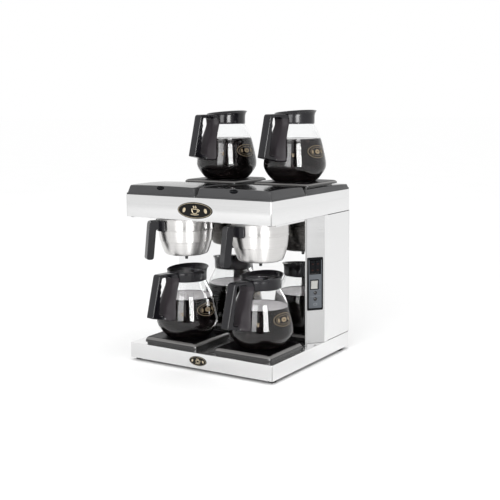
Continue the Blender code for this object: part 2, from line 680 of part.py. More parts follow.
def jug_handle():
    """Closed loop from the collar down to the glass. Each station has a jug-side and a finger-hole point
    (radius, height) and the half width of its jug side, which curves round the jug."""
    stations = (((0.0530, 0.1675), (0.0640, 0.1570), 0.0215), ((0.0740, 0.1685), (0.0780, 0.1590), 0.0125),
                ((0.0950, 0.1680), (0.0905, 0.1590), 0.0120), ((0.1030, 0.1635), (0.0938, 0.1545), 0.0120),
                ((0.1067, 0.1500), (0.0950, 0.1455), 0.0120), ((0.1128, 0.1260), (0.0982, 0.1215), 0.0120),
                ((0.1188, 0.1020), (0.1015, 0.0975), 0.0120), ((0.1248, 0.0780), (0.1047, 0.0755), 0.0120),
                ((0.1280, 0.0630), (0.1052, 0.0700), 0.0120), ((0.1120, 0.0590), (0.1005, 0.0665), 0.0120),
                ((0.0950, 0.0550), (0.0930, 0.0650), 0.0145), ((0.0802, 0.0515), (0.0878, 0.0680), 0.0345),
                ((0.0768, 0.0690), (0.0850, 0.0830), 0.0352), ((0.0706, 0.0980), (0.0775, 0.1020), 0.0325),
                ((0.0609, 0.1220), (0.0675, 0.1220), 0.0282), ((0.0490, 0.1440), (0.0620, 0.1400), 0.0240))
    edge = 0.0018
    rings = []
    for outer, inner, root_half in stations:
        outer, inner = Vector(outer), Vector(inner)
        step = (inner - outer).normalized() * edge
        hugs_jug = root_half > 1.2 * HANDLE_HALF

        def jug_side(offset):
            """The jug-side point at this distance from the middle plane."""
            reach = sqrt(outer.x ** 2 - offset ** 2) if hugs_jug else outer.x
            return Vector((reach, outer.y))

        tip = root_half - edge
        section = [(jug_side(root_half / 2), root_half / 2), (jug_side(tip), tip),
                   (jug_side(root_half) + step, root_half),
                   (inner - step, HANDLE_HALF), (inner, HANDLE_HALF - edge)]
        section = [(outer, 0.0)] + section + [(point, -offset) for point, offset in section[::-1]]
        rings.append([(offset, -point.x, point.y) for point, offset in section])
    return loft(rings, closed=True)


def jug_handle_mesh():
    """Collar and handle loop as one moulding."""
    return united("jug_collar", jug_collar(), "jug_handle_loop", jug_handle())


def make_jugs(mats):
    moulding = jug_handle_mesh()
    glass = bpy.data.meshes.new("jug_glass")
    shape = jug_glass()
    shape.to_mesh(glass)
    shape.free()
    rows = (("lower", BREW_AXES, LOWER_PLATE_TOP), ("upper", WARM_AXES, UPPER_PLATE_TOP))
    for level, axes, plate in rows:
        for side, (x, depth) in axes.items():
            turn = Matrix.Rotation(radians(JUG_TURN), 4, "Z")
            place = Matrix.Translation((x, back(depth), plate + GAP)) @ turn
            place_mesh(f"jug_glass_{level}_{side}", glass, mats["glass"], place, 50)
            place_mesh(f"jug_handle_{level}_{side}", moulding, mats["black_plastic"], place, 35)


# ---------------------------------------------------------------- badges
def make_badges(mats):
    """Plain oval plates on the hood and on the base."""
    rows = (("hood_badge", 0.102, 0.040, 0.3975), ("base_badge", 0.051, 0.024, 0.027))
    for name, width, height, z in rows:
        segments, thick, chamfer = 32, 0.0016, 0.0006
        rings = []
        for shrink, depth in ((0.0, GAP), (0.0, thick - chamfer), (chamfer, thick)):
            rings.append([((width / 2 - shrink) * cos(2 * pi * i / segments), -depth,
                           (height / 2 - shrink) * sin(2 * pi * i / segments)) for i in range(segments)])
        add_part(name, loft(rings), mats["badge"], Matrix.Translation((0, back(0), z)))


def main():
    clear_scene()
    mats = {
        "steel": material("steel", (0.78, 0.78, 0.77), 0.32, 1.0),
        "mirror_steel": material("mirror_steel", (0.80, 0.80, 0.80), 0.08, 1.0),
        "basket_steel": material("basket_steel", (0.74, 0.72, 0.71), 0.16, 1.0),
        "aluminium": material("aluminium", (0.60, 0.60, 0.60), 0.45, 1.0),
        "gloss_black": material("gloss_black", (0.035, 0.035, 0.037), 0.22),
        "black_plastic": material("black_plastic", (0.045, 0.044, 0.048), 0.38),
        "enamel": material("enamel", (0.02, 0.02, 0.02), 0.30),
        "white_plastic": material("white_plastic", (0.78, 0.78, 0.75), 0.35),
        "tank_plastic": material("tank_plastic", (0.55, 0.56, 0.58), 0.40),
        "silicone": material("silicone", (0.72, 0.72, 0.70), 0.50),
        "rubber": material("rubber", (0.02, 0.02, 0.02), 0.80),
        "badge": material("badge", (0.05, 0.045, 0.035), 0.30),
        "glass": material("glass", (0.95, 0.96, 0.96), 0.02, 0.0, 0.25),
    }
    make_base(mats)
    make_gland(mats)
    make_column(mats)
    make_panels(mats)
    make_hood(mats)
    make_lids(mats)
    make_top_covers(mats)
    make_tanks(mats)
    make_water_path(mats)
    make_hot_plates(mats)
    make_baskets(mats)
    make_jugs(mats)
    make_badges(mats)


main()
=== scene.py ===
"""Looks of the commercial coffee brewer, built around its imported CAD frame. Metres, +Z up, +Y back."""

from math import atan2, cos, pi, radians, sin

import bmesh
import bpy
from mathutils import Matrix, Vector


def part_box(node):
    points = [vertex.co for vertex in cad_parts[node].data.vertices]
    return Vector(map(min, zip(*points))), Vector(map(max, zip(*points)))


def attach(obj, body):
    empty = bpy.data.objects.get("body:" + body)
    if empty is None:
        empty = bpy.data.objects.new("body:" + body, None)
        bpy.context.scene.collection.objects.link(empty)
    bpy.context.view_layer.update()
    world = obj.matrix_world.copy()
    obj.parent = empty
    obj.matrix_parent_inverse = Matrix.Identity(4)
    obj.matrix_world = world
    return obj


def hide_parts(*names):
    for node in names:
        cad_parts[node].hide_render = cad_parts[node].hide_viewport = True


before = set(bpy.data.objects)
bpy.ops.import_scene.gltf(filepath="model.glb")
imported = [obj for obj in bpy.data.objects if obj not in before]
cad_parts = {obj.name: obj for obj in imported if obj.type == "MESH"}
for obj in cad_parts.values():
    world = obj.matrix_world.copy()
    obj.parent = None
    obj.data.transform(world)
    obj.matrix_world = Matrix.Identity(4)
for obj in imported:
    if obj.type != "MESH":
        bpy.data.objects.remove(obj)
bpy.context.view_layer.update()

# -------------------- places taken from the frame
HOOD_LOW, HOOD_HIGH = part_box("hood_shell")
TRAY_LOW, TRAY_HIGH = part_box("base_tray")
COLUMN_LOW, COLUMN_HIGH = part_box("column_front")
FRONT = HOOD_LOW[1]              # y of the chassis front face
REAR = HOOD_HIGH[1]
HALF = HOOD_HIGH[0]              # half the chassis width

SHEET = 0.0012                   # stainless sheet
CORNER = 0.003                   # radius of the folded upright edges
BEND = 0.0015                    # radius of the folded top edges
GAP = 0.0003                     # clearance between touching parts
SEAM = 0.0012                    # height of the dark seals above and below the side covers
CHAMFER_START = 0.2537           # depth behind the front face where a chamfer meets the side
CHAMFER_X, CHAMFER_END = 0.1804, 0.2118      # half width and depth at a chamfer's inner end
MIRROR_X, MIRROR_FACE = 0.196, 0.187         # half width and depth of the polished face
MIRROR_RETURN = 0.0085           # depth of its folded sides
SIDES = {"left": -1, "right": 1}
LEVELS = ("lower", "upper")

CAMERA_SPOT = (1.2752, -1.7196, 0.6331)      # from the middle of the chassis front edge, on the ground
CAMERA_AZIMUTH, CAMERA_ELEVATION, CAMERA_ROLL = 33.07, 8.837, -0.582
CAMERA_LENS = 64.84


def back(depth):
    """The y of a point this far behind the chassis front face."""
    return FRONT + depth


# -------------------- mesh helpers
def loft(rings, closed=False):
    """Skin rings of equal length; the first and last are capped unless the last one joins the first."""
    bm = bmesh.new()
    layers = [[bm.verts.new(point) for point in ring] for ring in rings]
    pairs = list(zip(layers, layers[1:]))
    if closed:
        pairs.append((layers[-1], layers[0]))
    else:
        bm.faces.new(layers[0])
        bm.faces.new(layers[-1])
    count = len(layers[0])
    for lower, upper in pairs:
        for i in range(count):
            j = (i + 1) % count
            bm.faces.new((lower[i], lower[j], upper[j], upper[i]))
    bmesh.ops.recalc_face_normals(bm, faces=bm.faces)
    return bm


def circle(radius, z, segments):
    return [(radius * cos(2 * pi * i / segments), radius * sin(2 * pi * i / segments), z)
            for i in range(segments)]


def turned(profile, segments=96, closed=False):
    """Turn (radius, z) points about Z."""
    return loft([circle(r, z, segments) for r, z in profile], closed)


def between(start, end, count):
    """Evenly spaced points strictly between two plan points."""
    return [tuple(s + (e - s) * i / (count + 1) for s, e in zip(start, end)) for i in range(1, count + 1)]


def rounded_rectangle(x, y, radius, z, steps=6, divisions=0):
    """One ring; x and y are (low, high) pairs, z a number or a function of the point."""
    centres = ((x[1] - radius, y[1] - radius), (x[0] + radius, y[1] - radius),
               (x[0] + radius, y[0] + radius), (x[1] - radius, y[0] + radius))
    outline = []
    for corner, (cx, cy) in enumerate(centres):
        arc = [(cx + radius * cos(a), cy + radius * sin(a))
               for a in (pi / 2 * (corner + i / steps) for i in range(steps + 1))]
        if outline:
            outline += between(outline[-1], arc[0], divisions)
        outline += arc
    outline += between(outline[-1], outline[0], divisions)
    height = z if callable(z) else lambda px, py: z
    return [(px, py, height(px, py)) for px, py in outline]


def inset(span, amount):
    return span[0] + amount, span[1] - amount


def middle_of(low, high):
    return [(a + b) / 2 for a, b in zip(low, high)]


def block(x, y, z):
    """A box from (low, high) pairs."""
    outline = [(x[0], y[0]), (x[1], y[0]), (x[1], y[1]), (x[0], y[1])]
    return loft([[(px, py, height) for px, py in outline] for height in z])


def mixed(start, end, share):
    """The point that lies this share of the way along."""
    return tuple(s * (1 - share) + e * share for s, e in zip(start, end))


def cut_corners(points, rounds, closed=False):
    """Chaikin's corner cutting: a smooth line through the middle of each run."""
    for _ in range(rounds):
        pairs = list(zip(points, points[1:] + points[:1] if closed else points[1:]))
        cut = []
        for a, b in pairs:
            cut += [mixed(a, b, 0.25), mixed(a, b, 0.75)]
        points = cut if closed else [points[0]] + cut[1:-1] + [points[-1]]
    return points


def moved(bm, matrix):
    bmesh.ops.transform(bm, matrix=matrix, verts=bm.verts)
    return bm


def new_object(name, bm, mat=None):
    mesh = bpy.data.meshes.new(name)
    bm.to_mesh(mesh)
    bm.free()
    obj = bpy.data.objects.new(name, mesh)
    bpy.context.scene.collection.objects.link(obj)
    if mat:
        mesh.materials.append(mat)
    return obj


def carve(bm, *cutters):
    """The bmesh with the cutters' volumes taken out, as a new bmesh."""
    body = new_object("carved", bm)
    tools = [new_object("cutter", cutter) for cutter in cutters]
    for tool in tools:
        modifier = body.modifiers.new("cut", "BOOLEAN")
        modifier.operation = "DIFFERENCE"
        modifier.solver = "EXACT"
        modifier.object = tool
    graph = bpy.context.evaluated_depsgraph_get()
    result = bmesh.new()
    result.from_mesh(body.evaluated_get(graph).to_mesh())
    for item in (body, *tools):
        bpy.data.objects.remove(item, do_unlink=True)
    return result


def piece(name, bm, mat, body, stands_for=(), smooth=35, bevel=None):
    """A visible piece riding on a body; `bevel` rounds its sharp edges by that width."""
    obj = new_object(name, bm, mat)
    obj.data.shade_smooth()
    obj.data.set_sharp_from_angle(angle=radians(smooth))
    if bevel:
        modifier = obj.modifiers.new("edges", "BEVEL")
        modifier.width = bevel
        modifier.segments = 3
        modifier.limit_method = "ANGLE"
        modifier.angle_limit = radians(40)
        modifier.harden_normals = True
    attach(obj, body)
    if stands_for:
        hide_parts(*stands_for)
    return obj


def paint(obj, mat, test):
    """Give every face that passes the test a further material."""
    obj.data.materials.append(mat)
    for face in obj.data.polygons:
        if test(face):
            face.material_index = len(obj.data.materials) - 1


def two_tone(obj, mat, upright_below=0.9):
    """Give every face that looks less straight up than this a further material."""
    paint(obj, mat, lambda face: face.normal.z < upright_below)


def faces_front(face):
    return face.normal.y < -0.9


def on_upright_fold(face):
    """Whether a face looks out between two sides, as the folded upright corners do."""
    across, along, up = (abs(part) for part in face.normal)
    return min(across, along) > 0.38 and up < 0.2


# -------------------- materials
def shader_material(name, colour, roughness, metallic=0.0):
    mat = bpy.data.materials.new(name)
    mat.use_nodes = True
    shader = mat.node_tree.nodes["Principled BSDF"]
    shader.inputs["Base Color"].default_value = (*colour, 1.0)
    shader.inputs["Roughness"].default_value = roughness
    shader.inputs["Metallic"].default_value = metallic
    return mat, shader


def noise(mat, stretch, detail=4.0):
    """Noise over object coordinates; `stretch` is its frequency along each axis, per metre."""
    nodes, links = mat.node_tree.nodes, mat.node_tree.links
    coordinates = nodes.new("ShaderNodeTexCoord")
    mapping = nodes.new("ShaderNodeMapping")
    mapping.inputs["Scale"].default_value = stretch
    texture = nodes.new("ShaderNodeTexNoise")
    texture.inputs["Scale"].default_value = 1.0
    texture.inputs["Detail"].default_value = detail
    links.new(coordinates.outputs["Object"], mapping.inputs["Vector"])
    links.new(mapping.outputs["Vector"], texture.inputs["Vector"])
    return texture.outputs["Fac"]


def spread(mat, value, low, high):
    """Map a noise value from its useful middle range onto low..high."""
    ramp = mat.node_tree.nodes.new("ShaderNodeMapRange")
    ramp.inputs["From Min"].default_value = 0.3
    ramp.inputs["From Max"].default_value = 0.7
    ramp.inputs["To Min"].default_value = low
    ramp.inputs["To Max"].default_value = high
    mat.node_tree.links.new(value, ramp.inputs["Value"])
    return ramp.outputs["Result"]


def vary_colour(mat, value, low, high):
    """Base colour that moves between two colours with a noise value."""
    mix = mat.node_tree.nodes.new("ShaderNodeMix")
    mix.data_type = "RGBA"
    mix.inputs["A"].default_value = (*low, 1.0)
    mix.inputs["B"].default_value = (*high, 1.0)
    mat.node_tree.links.new(spread(mat, value, 0.0, 1.0), mix.inputs["Factor"])
    shader = mat.node_tree.nodes["Principled BSDF"]
    mat.node_tree.links.new(mix.outputs["Result"], shader.inputs["Base Color"])


def add_bump(mat, value, strength, distance):
    bump = mat.node_tree.nodes.new("ShaderNodeBump")
    bump.inputs["Strength"].default_value = strength
    bump.inputs["Distance"].default_value = distance
    mat.node_tree.links.new(value, bump.inputs["Height"])
    shader = mat.node_tree.nodes["Principled BSDF"]
    mat.node_tree.links.new(bump.outputs["Normal"], shader.inputs["Normal"])


def scaled(colour, factor):
    return tuple(min(1.0, channel * factor) for channel in colour)


def brushed(name, colour, roughness, streak=0.02, depth=0.05, along=(5.0, 5.0, 900.0), drawn_out=0.0):
    """Brushed sheet: level streaks in tone, gloss and height; `drawn_out` stretches the highlights."""
    mat, shader = shader_material(name, colour, roughness, 1.0)
    shader.inputs["Anisotropic"].default_value = drawn_out
    shader.inputs["Anisotropic Rotation"].default_value = 0.25
    streaks = noise(mat, along)
    vary_colour(mat, streaks, scaled(colour, 1 - streak), scaled(colour, 1 + streak))
    varied = spread(mat, streaks, roughness - 0.05, roughness + 0.05)
    mat.node_tree.links.new(varied, shader.inputs["Roughness"])
    add_bump(mat, streaks, depth, 0.0001)
    return mat


def plastic(name, colour, roughness, grain=900.0, depth=0.08, wear=0.25, shine=0.5):
    """Moulded plastic: fine grain in height and a broad, faint change in tone and gloss."""
    mat, shader = shader_material(name, colour, roughness)
    shader.inputs["Specular IOR Level"].default_value = shine
    broad = noise(mat, (14.0, 14.0, 14.0))
    vary_colour(mat, broad, scaled(colour, 1 - wear), scaled(colour, 1 + wear))
    varied = spread(mat, broad, roughness - 0.04, roughness + 0.04)
    mat.node_tree.links.new(varied, shader.inputs["Roughness"])
    add_bump(mat, noise(mat, (grain, grain, grain), 2.0), depth, 0.0002)
    return mat


def clear_glass():
    mat, shader = shader_material("jug_clear_glass", (0.985, 0.99, 0.99), 0.0)
    shader.inputs["Transmission Weight"].default_value = 1.0
    shader.inputs["IOR"].default_value = 1.33
    add_bump(mat, noise(mat, (30.0, 30.0, 18.0), 1.0), 0.02, 0.0004)
    return mat


def coffee_liquid():
    mat, shader = shader_material("brewed_coffee", (0.006, 0.0045, 0.0045), 0.06)
    shader.inputs["IOR"].default_value = 1.33
    vary_colour(mat, noise(mat, (25.0, 25.0, 25.0)), (0.005, 0.0036, 0.0038), (0.007, 0.0052, 0.0052))
    return mat


def coffee_top():
    """The surface of the coffee, its light colour a painted reflection."""
    mat, shader = shader_material("coffee_surface_painted_reflection", (0.32, 0.28, 0.30), 0.12)
    shader.inputs["IOR"].default_value = 2.1
    vary_colour(mat, noise(mat, (25.0, 25.0, 25.0)), (0.28, 0.25, 0.265), (0.36, 0.32, 0.34))
    return mat


def studio_floor():
    mat, shader = shader_material("studio_floor", (0.985, 0.985, 0.985), 0.80)
    shader.inputs["Specular IOR Level"].default_value = 0.0
    shader.inputs["Emission Color"].default_value = (1, 1, 1, 1)
    shader.inputs["Emission Strength"].default_value = 0.01
    vary_colour(mat, noise(mat, (3.0, 3.0, 3.0)), (0.98, 0.98, 0.98), (0.99, 0.99, 0.99))
    return mat


SPUN = {"streak": 0.06, "depth": 0.10, "along": (8.0, 8.0, 1400.0), "drawn_out": 0.85}
CAST = (300.0, 300.0, 300.0)                 # frequency of an even grain, per metre
STEEL = brushed("brushed_sheet", (0.80, 0.80, 0.80), 0.20)
# painted shade: the front faces are a darker copy of the brushed sheet
SHADED_FRONT_STEEL = brushed("front_sheet_painted_shade", (0.725, 0.725, 0.725), 0.20)
# painted shade: the chamfers are a darker copy of the sheet, and rougher
SHADED_CHAMFER_STEEL = brushed("satin_chamfer_painted_shade", (0.47, 0.47, 0.47), 0.32, streak=0.01, depth=0.02)
MIRROR = brushed("mirror_sheet", (0.77, 0.77, 0.77), 0.045, streak=0.01, depth=0.012,
                 along=(4.0, 4.0, 60.0))
BASKET_STEEL = brushed("spun_steel", (0.66, 0.65, 0.64), 0.33, **SPUN)
# painted shade: the outside of each basket's back half is dark so it shows dark in the mirror
SHADED_BASKET_BACK = brushed("basket_back_painted_shade", (0.10, 0.095, 0.09), 0.30, **SPUN)
# painted shade: the folded upright corners are a darker copy of the sheet
SHADED_FOLD_STEEL = brushed("folded_edge_painted_shade", (0.42, 0.42, 0.42), 0.30)
# painted light: the pan's top faces are a lighter, rougher copy of the sheet
LIT_TRAY_STEEL = brushed("tray_top_steel_painted_light", (0.84, 0.84, 0.84), 0.28)
DULL_METAL = brushed("cast_aluminium", (0.60, 0.60, 0.60), 0.45, along=CAST)
SCREW_DARK = brushed("screw_steel", (0.22, 0.22, 0.22), 0.30, along=CAST)
LID_TOP = plastic("lid_top", (0.010, 0.010, 0.011), 0.16, grain=1100.0, depth=0.02, shine=0.60)
# painted light: the sides of the lids and covers are a lighter grey copy of their black
LIT_LID_SIDES = plastic("lid_sides_painted_light", (0.034, 0.034, 0.036), 0.40, grain=1100.0, depth=0.05, wear=0.1)
PANEL_BLACK = plastic("panel_black", (0.003, 0.0035, 0.005), 0.25, grain=1400.0, depth=0.04, shine=0.12)
HANDLE_BLACK = plastic("handle_black", (0.0080, 0.0075, 0.0100), 0.20, grain=1000.0, depth=0.05, shine=0.35)
HANDLE_MATT = plastic("handle_matt", (0.030, 0.025, 0.029), 0.45, grain=1000.0, depth=0.05, wear=0.1,
                      shine=0.12)
PRINT_GOLD = plastic("jug_print", (0.30, 0.235, 0.15), 0.40, wear=0.15, shine=0.2)
ENAMEL = plastic("plate_enamel", (0.003, 0.0025, 0.003), 0.30, grain=600.0, depth=0.05, shine=0.05)
RIM_FINISH = {"grain": 600.0, "depth": 0.05, "wear": 0.1}
# painted light on the sloped plate rims and painted shade on their steep lower band
LIT_PLATE_RIM = plastic("plate_rim_painted_light", (0.125, 0.121, 0.118), 0.24, shine=0.8, **RIM_FINISH)
SHADED_PLATE_EDGE = plastic("plate_edge_painted_shade", (0.014, 0.0135, 0.0135), 0.24, shine=0.6, **RIM_FINISH)
WHITE_PLASTIC = plastic("switch_white", (0.50, 0.50, 0.47), 0.32, wear=0.05)
TANK_PLASTIC = plastic("tank_plastic", (0.52, 0.53, 0.55), 0.38, wear=0.06)
SILICONE = plastic("silicone_tube", (0.70, 0.70, 0.68), 0.50, wear=0.06)
# black rubber, also used as painted shade on the base's underside
RUBBER_AND_UNDERSIDE_SHADE = plastic("foot_rubber_and_underside_shade", (0.018, 0.018, 0.018), 0.85, grain=500.0, depth=0.25)
LABEL = plastic("panel_label", (0.088, 0.100, 0.116), 0.35, grain=1500.0, depth=0.03, wear=0.10)
LABEL_MARK = plastic("label_mark", (0.30, 0.32, 0.34), 0.40, wear=0.05)
LAMP = plastic("lamp_lens", (0.012, 0.010, 0.010), 0.12, grain=300.0, depth=0.03)
RED_MARK = plastic("rocker_mark", (0.026, 0.010, 0.009), 0.30, wear=0.10, shine=0.1)
GOLD = brushed("badge_gold", (0.62, 0.53, 0.38), 0.28, along=(500.0, 500.0, 500.0))
BADGE_BLACK = plastic("badge_black", (0.005, 0.0045, 0.004), 0.30, grain=1200.0, depth=0.03, shine=0.15)
GLASS = clear_glass()
COFFEE = coffee_liquid()
COFFEE_TOP_REFLECTION = coffee_top()


# -------------------- camera, light and floor
def make_camera():
    azimuth, elevation, roll = (radians(a) for a in (CAMERA_AZIMUTH, CAMERA_ELEVATION, CAMERA_ROLL))
    sight = Vector((-sin(azimuth) * cos(elevation), cos(azimuth) * cos(elevation), -sin(elevation)))
    level = Vector((cos(azimuth), sin(azimuth), 0))
    upright = level.cross(sight)
    right = level * cos(roll) + upright * sin(roll)
    up = upright * cos(roll) - level * sin(roll)
    camera = bpy.data.objects.new("camera", bpy.data.cameras.new("camera"))
    camera.data.lens = CAMERA_LENS
    camera.matrix_world = Matrix((right, up, -sight)).transposed().to_4x4()
    camera.location = Vector(CAMERA_SPOT) + Vector((0, FRONT, 0))
    bpy.context.scene.collection.objects.link(camera)
    bpy.context.scene.camera = camera


def from_azimuth(azimuth, distance, height):
    """A point round the brewer; azimuth 0 is in front of it and 90 to its right."""
    angle = radians(azimuth)
    return Vector((sin(angle) * distance, -cos(angle) * distance, height))


LIGHT_AIM = Vector((0.0, 0.0, 0.25))         # the middle of the brewer


def softbox(name, azimuth, distance, height, size, energy, glossy=True):
    """A rectangular light seen either in reflections only, or by matt surfaces only."""
    light = bpy.data.lights.new(name, "AREA")
    light.shape = "RECTANGLE"
    light.size, light.size_y = size
    light.energy = energy
    lamp = bpy.data.objects.new(name, light)
    lamp.location = from_azimuth(azimuth, distance, height)
    lamp.rotation_euler = (lamp.location - LIGHT_AIM).to_track_quat("Z", "Y").to_euler()
    lamp.visible_camera = False
    lamp.visible_glossy = glossy
    lamp.visible_diffuse = not glossy
    bpy.context.scene.collection.objects.link(lamp)


def dark_card(azimuth, distance, width, z):
    """Black cloth behind the viewpoint: it shows only in reflections."""
    middle = from_azimuth(azimuth, distance, 0)
    across = Vector((cos(radians(azimuth)), sin(radians(azimuth)), 0)) * width / 2
    bm = bmesh.new()
    corners = [middle - across, middle + across]
    points = [corner + Vector((0, 0, height)) for height in z for corner in corners]
    verts = [bm.verts.new(point) for point in points]
    bm.faces.new((verts[0], verts[1], verts[3], verts[2]))
    mat = plastic("black_cloth", (0.004, 0.004, 0.004), 0.9)
    card = new_object("black_cloth", bm, mat)
    card.visible_camera = False
    card.visible_diffuse = False
    card.visible_shadow = False


def make_studio():
    world = bpy.data.worlds.new("studio")
    bpy.context.scene.world = world
    world.use_nodes = True
    world.node_tree.nodes["Background"].inputs["Color"].default_value = (1, 1, 1, 1)
    world.node_tree.nodes["Background"].inputs["Strength"].default_value = 1.0
    bpy.context.scene.view_settings.view_transform = "Standard"

    bm = bmesh.new()
    bmesh.ops.create_grid(bm, x_segments=8, y_segments=8, size=60.0)
    floor = new_object("floor", bm, studio_floor())

    softbox("key_softbox", 50, 2.6, 0.95, (0.80, 1.5), 85)
    softbox("side_softbox", 8, 2.6, 0.95, (1.0, 1.5), 30)
    softbox("front_fill", 10, 2.4, 1.3, (1.6, 1.6), 22, glossy=False)
    dark_card(29, 3.2, 1.25, (-0.2, 2.6))


# -------------------- chassis sheet work
def folded_pan(x, y, z):
    """A sheet pan with folded edges, open underneath."""
    steps = 5
    rings = [rounded_rectangle(inset(x, BEND), inset(y, BEND), CORNER - BEND, z[1])]
    for i in range(1, steps + 1):
        angle = pi / 2 * i / steps
        amount = BEND * (1 - sin(angle))
        rings.append(rounded_rectangle(inset(x, amount), inset(y, amount), CORNER - amount,
                                       z[1] - BEND + BEND * cos(angle)))
    rings.append(rounded_rectangle(x, y, CORNER, z[0]))
    for height in (z[0], z[1] - SHEET):
        rings.append(rounded_rectangle(inset(x, SHEET), inset(y, SHEET), CORNER - SHEET, height))
    return loft(rings)


def shade_front_and_folds(obj):
    """The front face is painted a little darker than the other sheet, and the upright folds darker still:
    painted shade.
    """
    paint(obj, SHADED_FOLD_STEEL, on_upright_fold)
    paint(obj, SHADED_FRONT_STEEL, lambda face: faces_front(face) and not on_upright_fold(face))


def screw_head(radius, height):
    """Pan head with a cross recess, standing on z = 0."""
    profile = [(radius, 0.0), (radius, height * 0.35), (radius * 0.85, height * 0.75),
               (radius * 0.5, height)]
    long, narrow = (-radius * 0.55, radius * 0.55), (-radius * 0.13, radius * 0.13)
    recess = (height * 0.5, height + 0.001)
    return carve(turned(profile, 32), block(long, narrow, recess), block(narrow, long, recess))


def facing(direction, place):
    """Turn a piece built along +Z to point in a direction, and put it at a place."""
    return Matrix.Translation(place) @ Vector(direction).to_track_quat("Z", "Y").to_matrix().to_4x4()


def make_chassis():
    x, y = (-HALF, HALF), (FRONT, REAR)
    sheet = folded_pan(x, y, (TRAY_LOW[2], TRAY_HIGH[2]))
    pan = piece("base_pan", sheet, STEEL, "chassis", ["base_tray"])
    # painted light on the pan's top faces
    paint(pan, LIT_TRAY_STEEL, lambda face: face.normal.z > 0.9)
    shade_front_and_folds(pan)

    lip = 0.0006
    low, high = HOOD_LOW[2], HOOD_HIGH[2]
    rings = [rounded_rectangle(x, y, CORNER, low + lip), rounded_rectangle(x, y, CORNER, high - lip),
             rounded_rectangle(inset(x, lip), inset(y, lip), CORNER - lip, high),
             rounded_rectangle(inset(x, SHEET), inset(y, SHEET), CORNER - SHEET, high),
             rounded_rectangle(inset(x, SHEET), inset(y, SHEET), CORNER - SHEET, low),
             rounded_rectangle(inset(x, lip), inset(y, lip), CORNER - lip, low)]
    band = loft(rings, closed=True)
    shade_front_and_folds(piece("hood_band", band, STEEL, "chassis", ["hood_shell"], smooth=50))

    for side, sign in SIDES.items():
        low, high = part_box(f"column_side_{side}")
        panel = block((low[0], high[0]), (low[1], high[1]), (low[2] + SEAM, high[2] - SEAM))
        piece(f"side_cover_{side}", panel, STEEL, "chassis", [f"column_side_{side}"], bevel=0.0005)
        seams = {"low": (low[2], low[2] + SEAM - GAP), "high": (high[2] - SEAM + GAP, high[2])}
        for end, seam in seams.items():
            strip = block(inset((low[0], high[0]), 0.0004), inset((low[1], high[1]), 0.0004), seam)
            piece(f"side_seal_{side}_{end}", strip, RUBBER_AND_UNDERSIDE_SHADE, "chassis")

        plug = turned([(0.0045, 0.0035), (0.0052, 0.003), (0.0052, 0.0008), (0.0044, 0.0)], 32)
        place = Matrix.Translation((sign * 0.202, back(0.011), HOOD_LOW[2] - 0.0020))
        piece(f"hood_plug_{side}", moved(plug, place), RUBBER_AND_UNDERSIDE_SHADE, "chassis")
        place = Matrix.Translation((sign * 0.2088, back(0.2125), TRAY_HIGH[2]))
        screw = moved(screw_head(0.0026, 0.0016), place)
        piece(f"tray_screw_{side}", screw, SCREW_DARK, "chassis")

    rear_low, rear_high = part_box("rear_panel")
    for i, px in enumerate((-1, 0, 1)):
        for j, pz in enumerate((rear_low[2] + 0.012, rear_high[2] - 0.012)):
            place = facing((0, 1, 0), (px * (HALF - 0.012), rear_high[1], pz))
            head = moved(screw_head(0.0034, 0.0018), place)
            piece(f"rear_screw_{i}_{j}", head, DULL_METAL, "chassis")


def make_column():
    """Mirror panel, satin chamfers with painted shade and side returns, folded from one sheet."""
    z = (COLUMN_LOW[2], COLUMN_HIGH[2])
    rear = COLUMN_HIGH[1]
    half = [(HALF, rear), (HALF, back(CHAMFER_START)), (CHAMFER_X, back(CHAMFER_END)),
            (MIRROR_X, back(MIRROR_FACE + MIRROR_RETURN)), (MIRROR_X, back(MIRROR_FACE))]
    outer = half + [(-px, py) for px, py in half[::-1]]
    inner = [(HALF - SHEET, rear), (HALF - SHEET, back(CHAMFER_START + 0.0004)),
             (CHAMFER_X - 0.0016, back(CHAMFER_END - 0.0001)),
             (MIRROR_X - SHEET, back(MIRROR_FACE + MIRROR_RETURN - 0.0005)),
             (MIRROR_X - SHEET, back(MIRROR_FACE) + SHEET)]
    inner += [(-px, py) for px, py in inner[::-1]]
    sheet = loft([[(px, py, height) for px, py in outer + inner[::-1]] for height in z])
    openings = [moved(block((-0.0195, 0.0195), (-0.02, 0.02), (-0.0655, 0.0655)), panel_frame(sign))
                for sign in SIDES.values()]
    sheet = carve(sheet, *openings)
    column = piece("column_sheet", sheet, STEEL, "chassis", ["column_front"], bevel=0.0005)
    paint(column, MIRROR, faces_front)
    # painted shade on the chamfers and the other faces ahead of them that do not face front
    paint(column, SHADED_CHAMFER_STEEL, lambda face: face.center.y < back(CHAMFER_START) and not faces_front(face))


# -------------------- control panels
PANEL_FROM_EDGE = 0.0265         # panel centre, measured along the chamfer from its outer edge
PANEL_LOW, PANEL_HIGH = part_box("control_panel_right")
PANEL_CENTRE_Z = (PANEL_LOW[2] + PANEL_HIGH[2]) / 2
PANEL_HALF = (0.0215, (PANEL_HIGH[2] - PANEL_LOW[2]) / 2)
BEZEL = 0.0024                   # the panel stands this proud of the chamfer
WINDOW_Z, WINDOW_HALF = 0.0439, (0.0140, 0.01765)
SWITCH_Z, SWITCH_SHIFT = -0.0016, -0.0022
SWITCH_HALF = (0.0098, 0.0113)
ROCKER_PIVOT = 0.001
ROCKER_TILT = radians(6.0)
LAMPS_Z = (-0.0225, -0.0385)


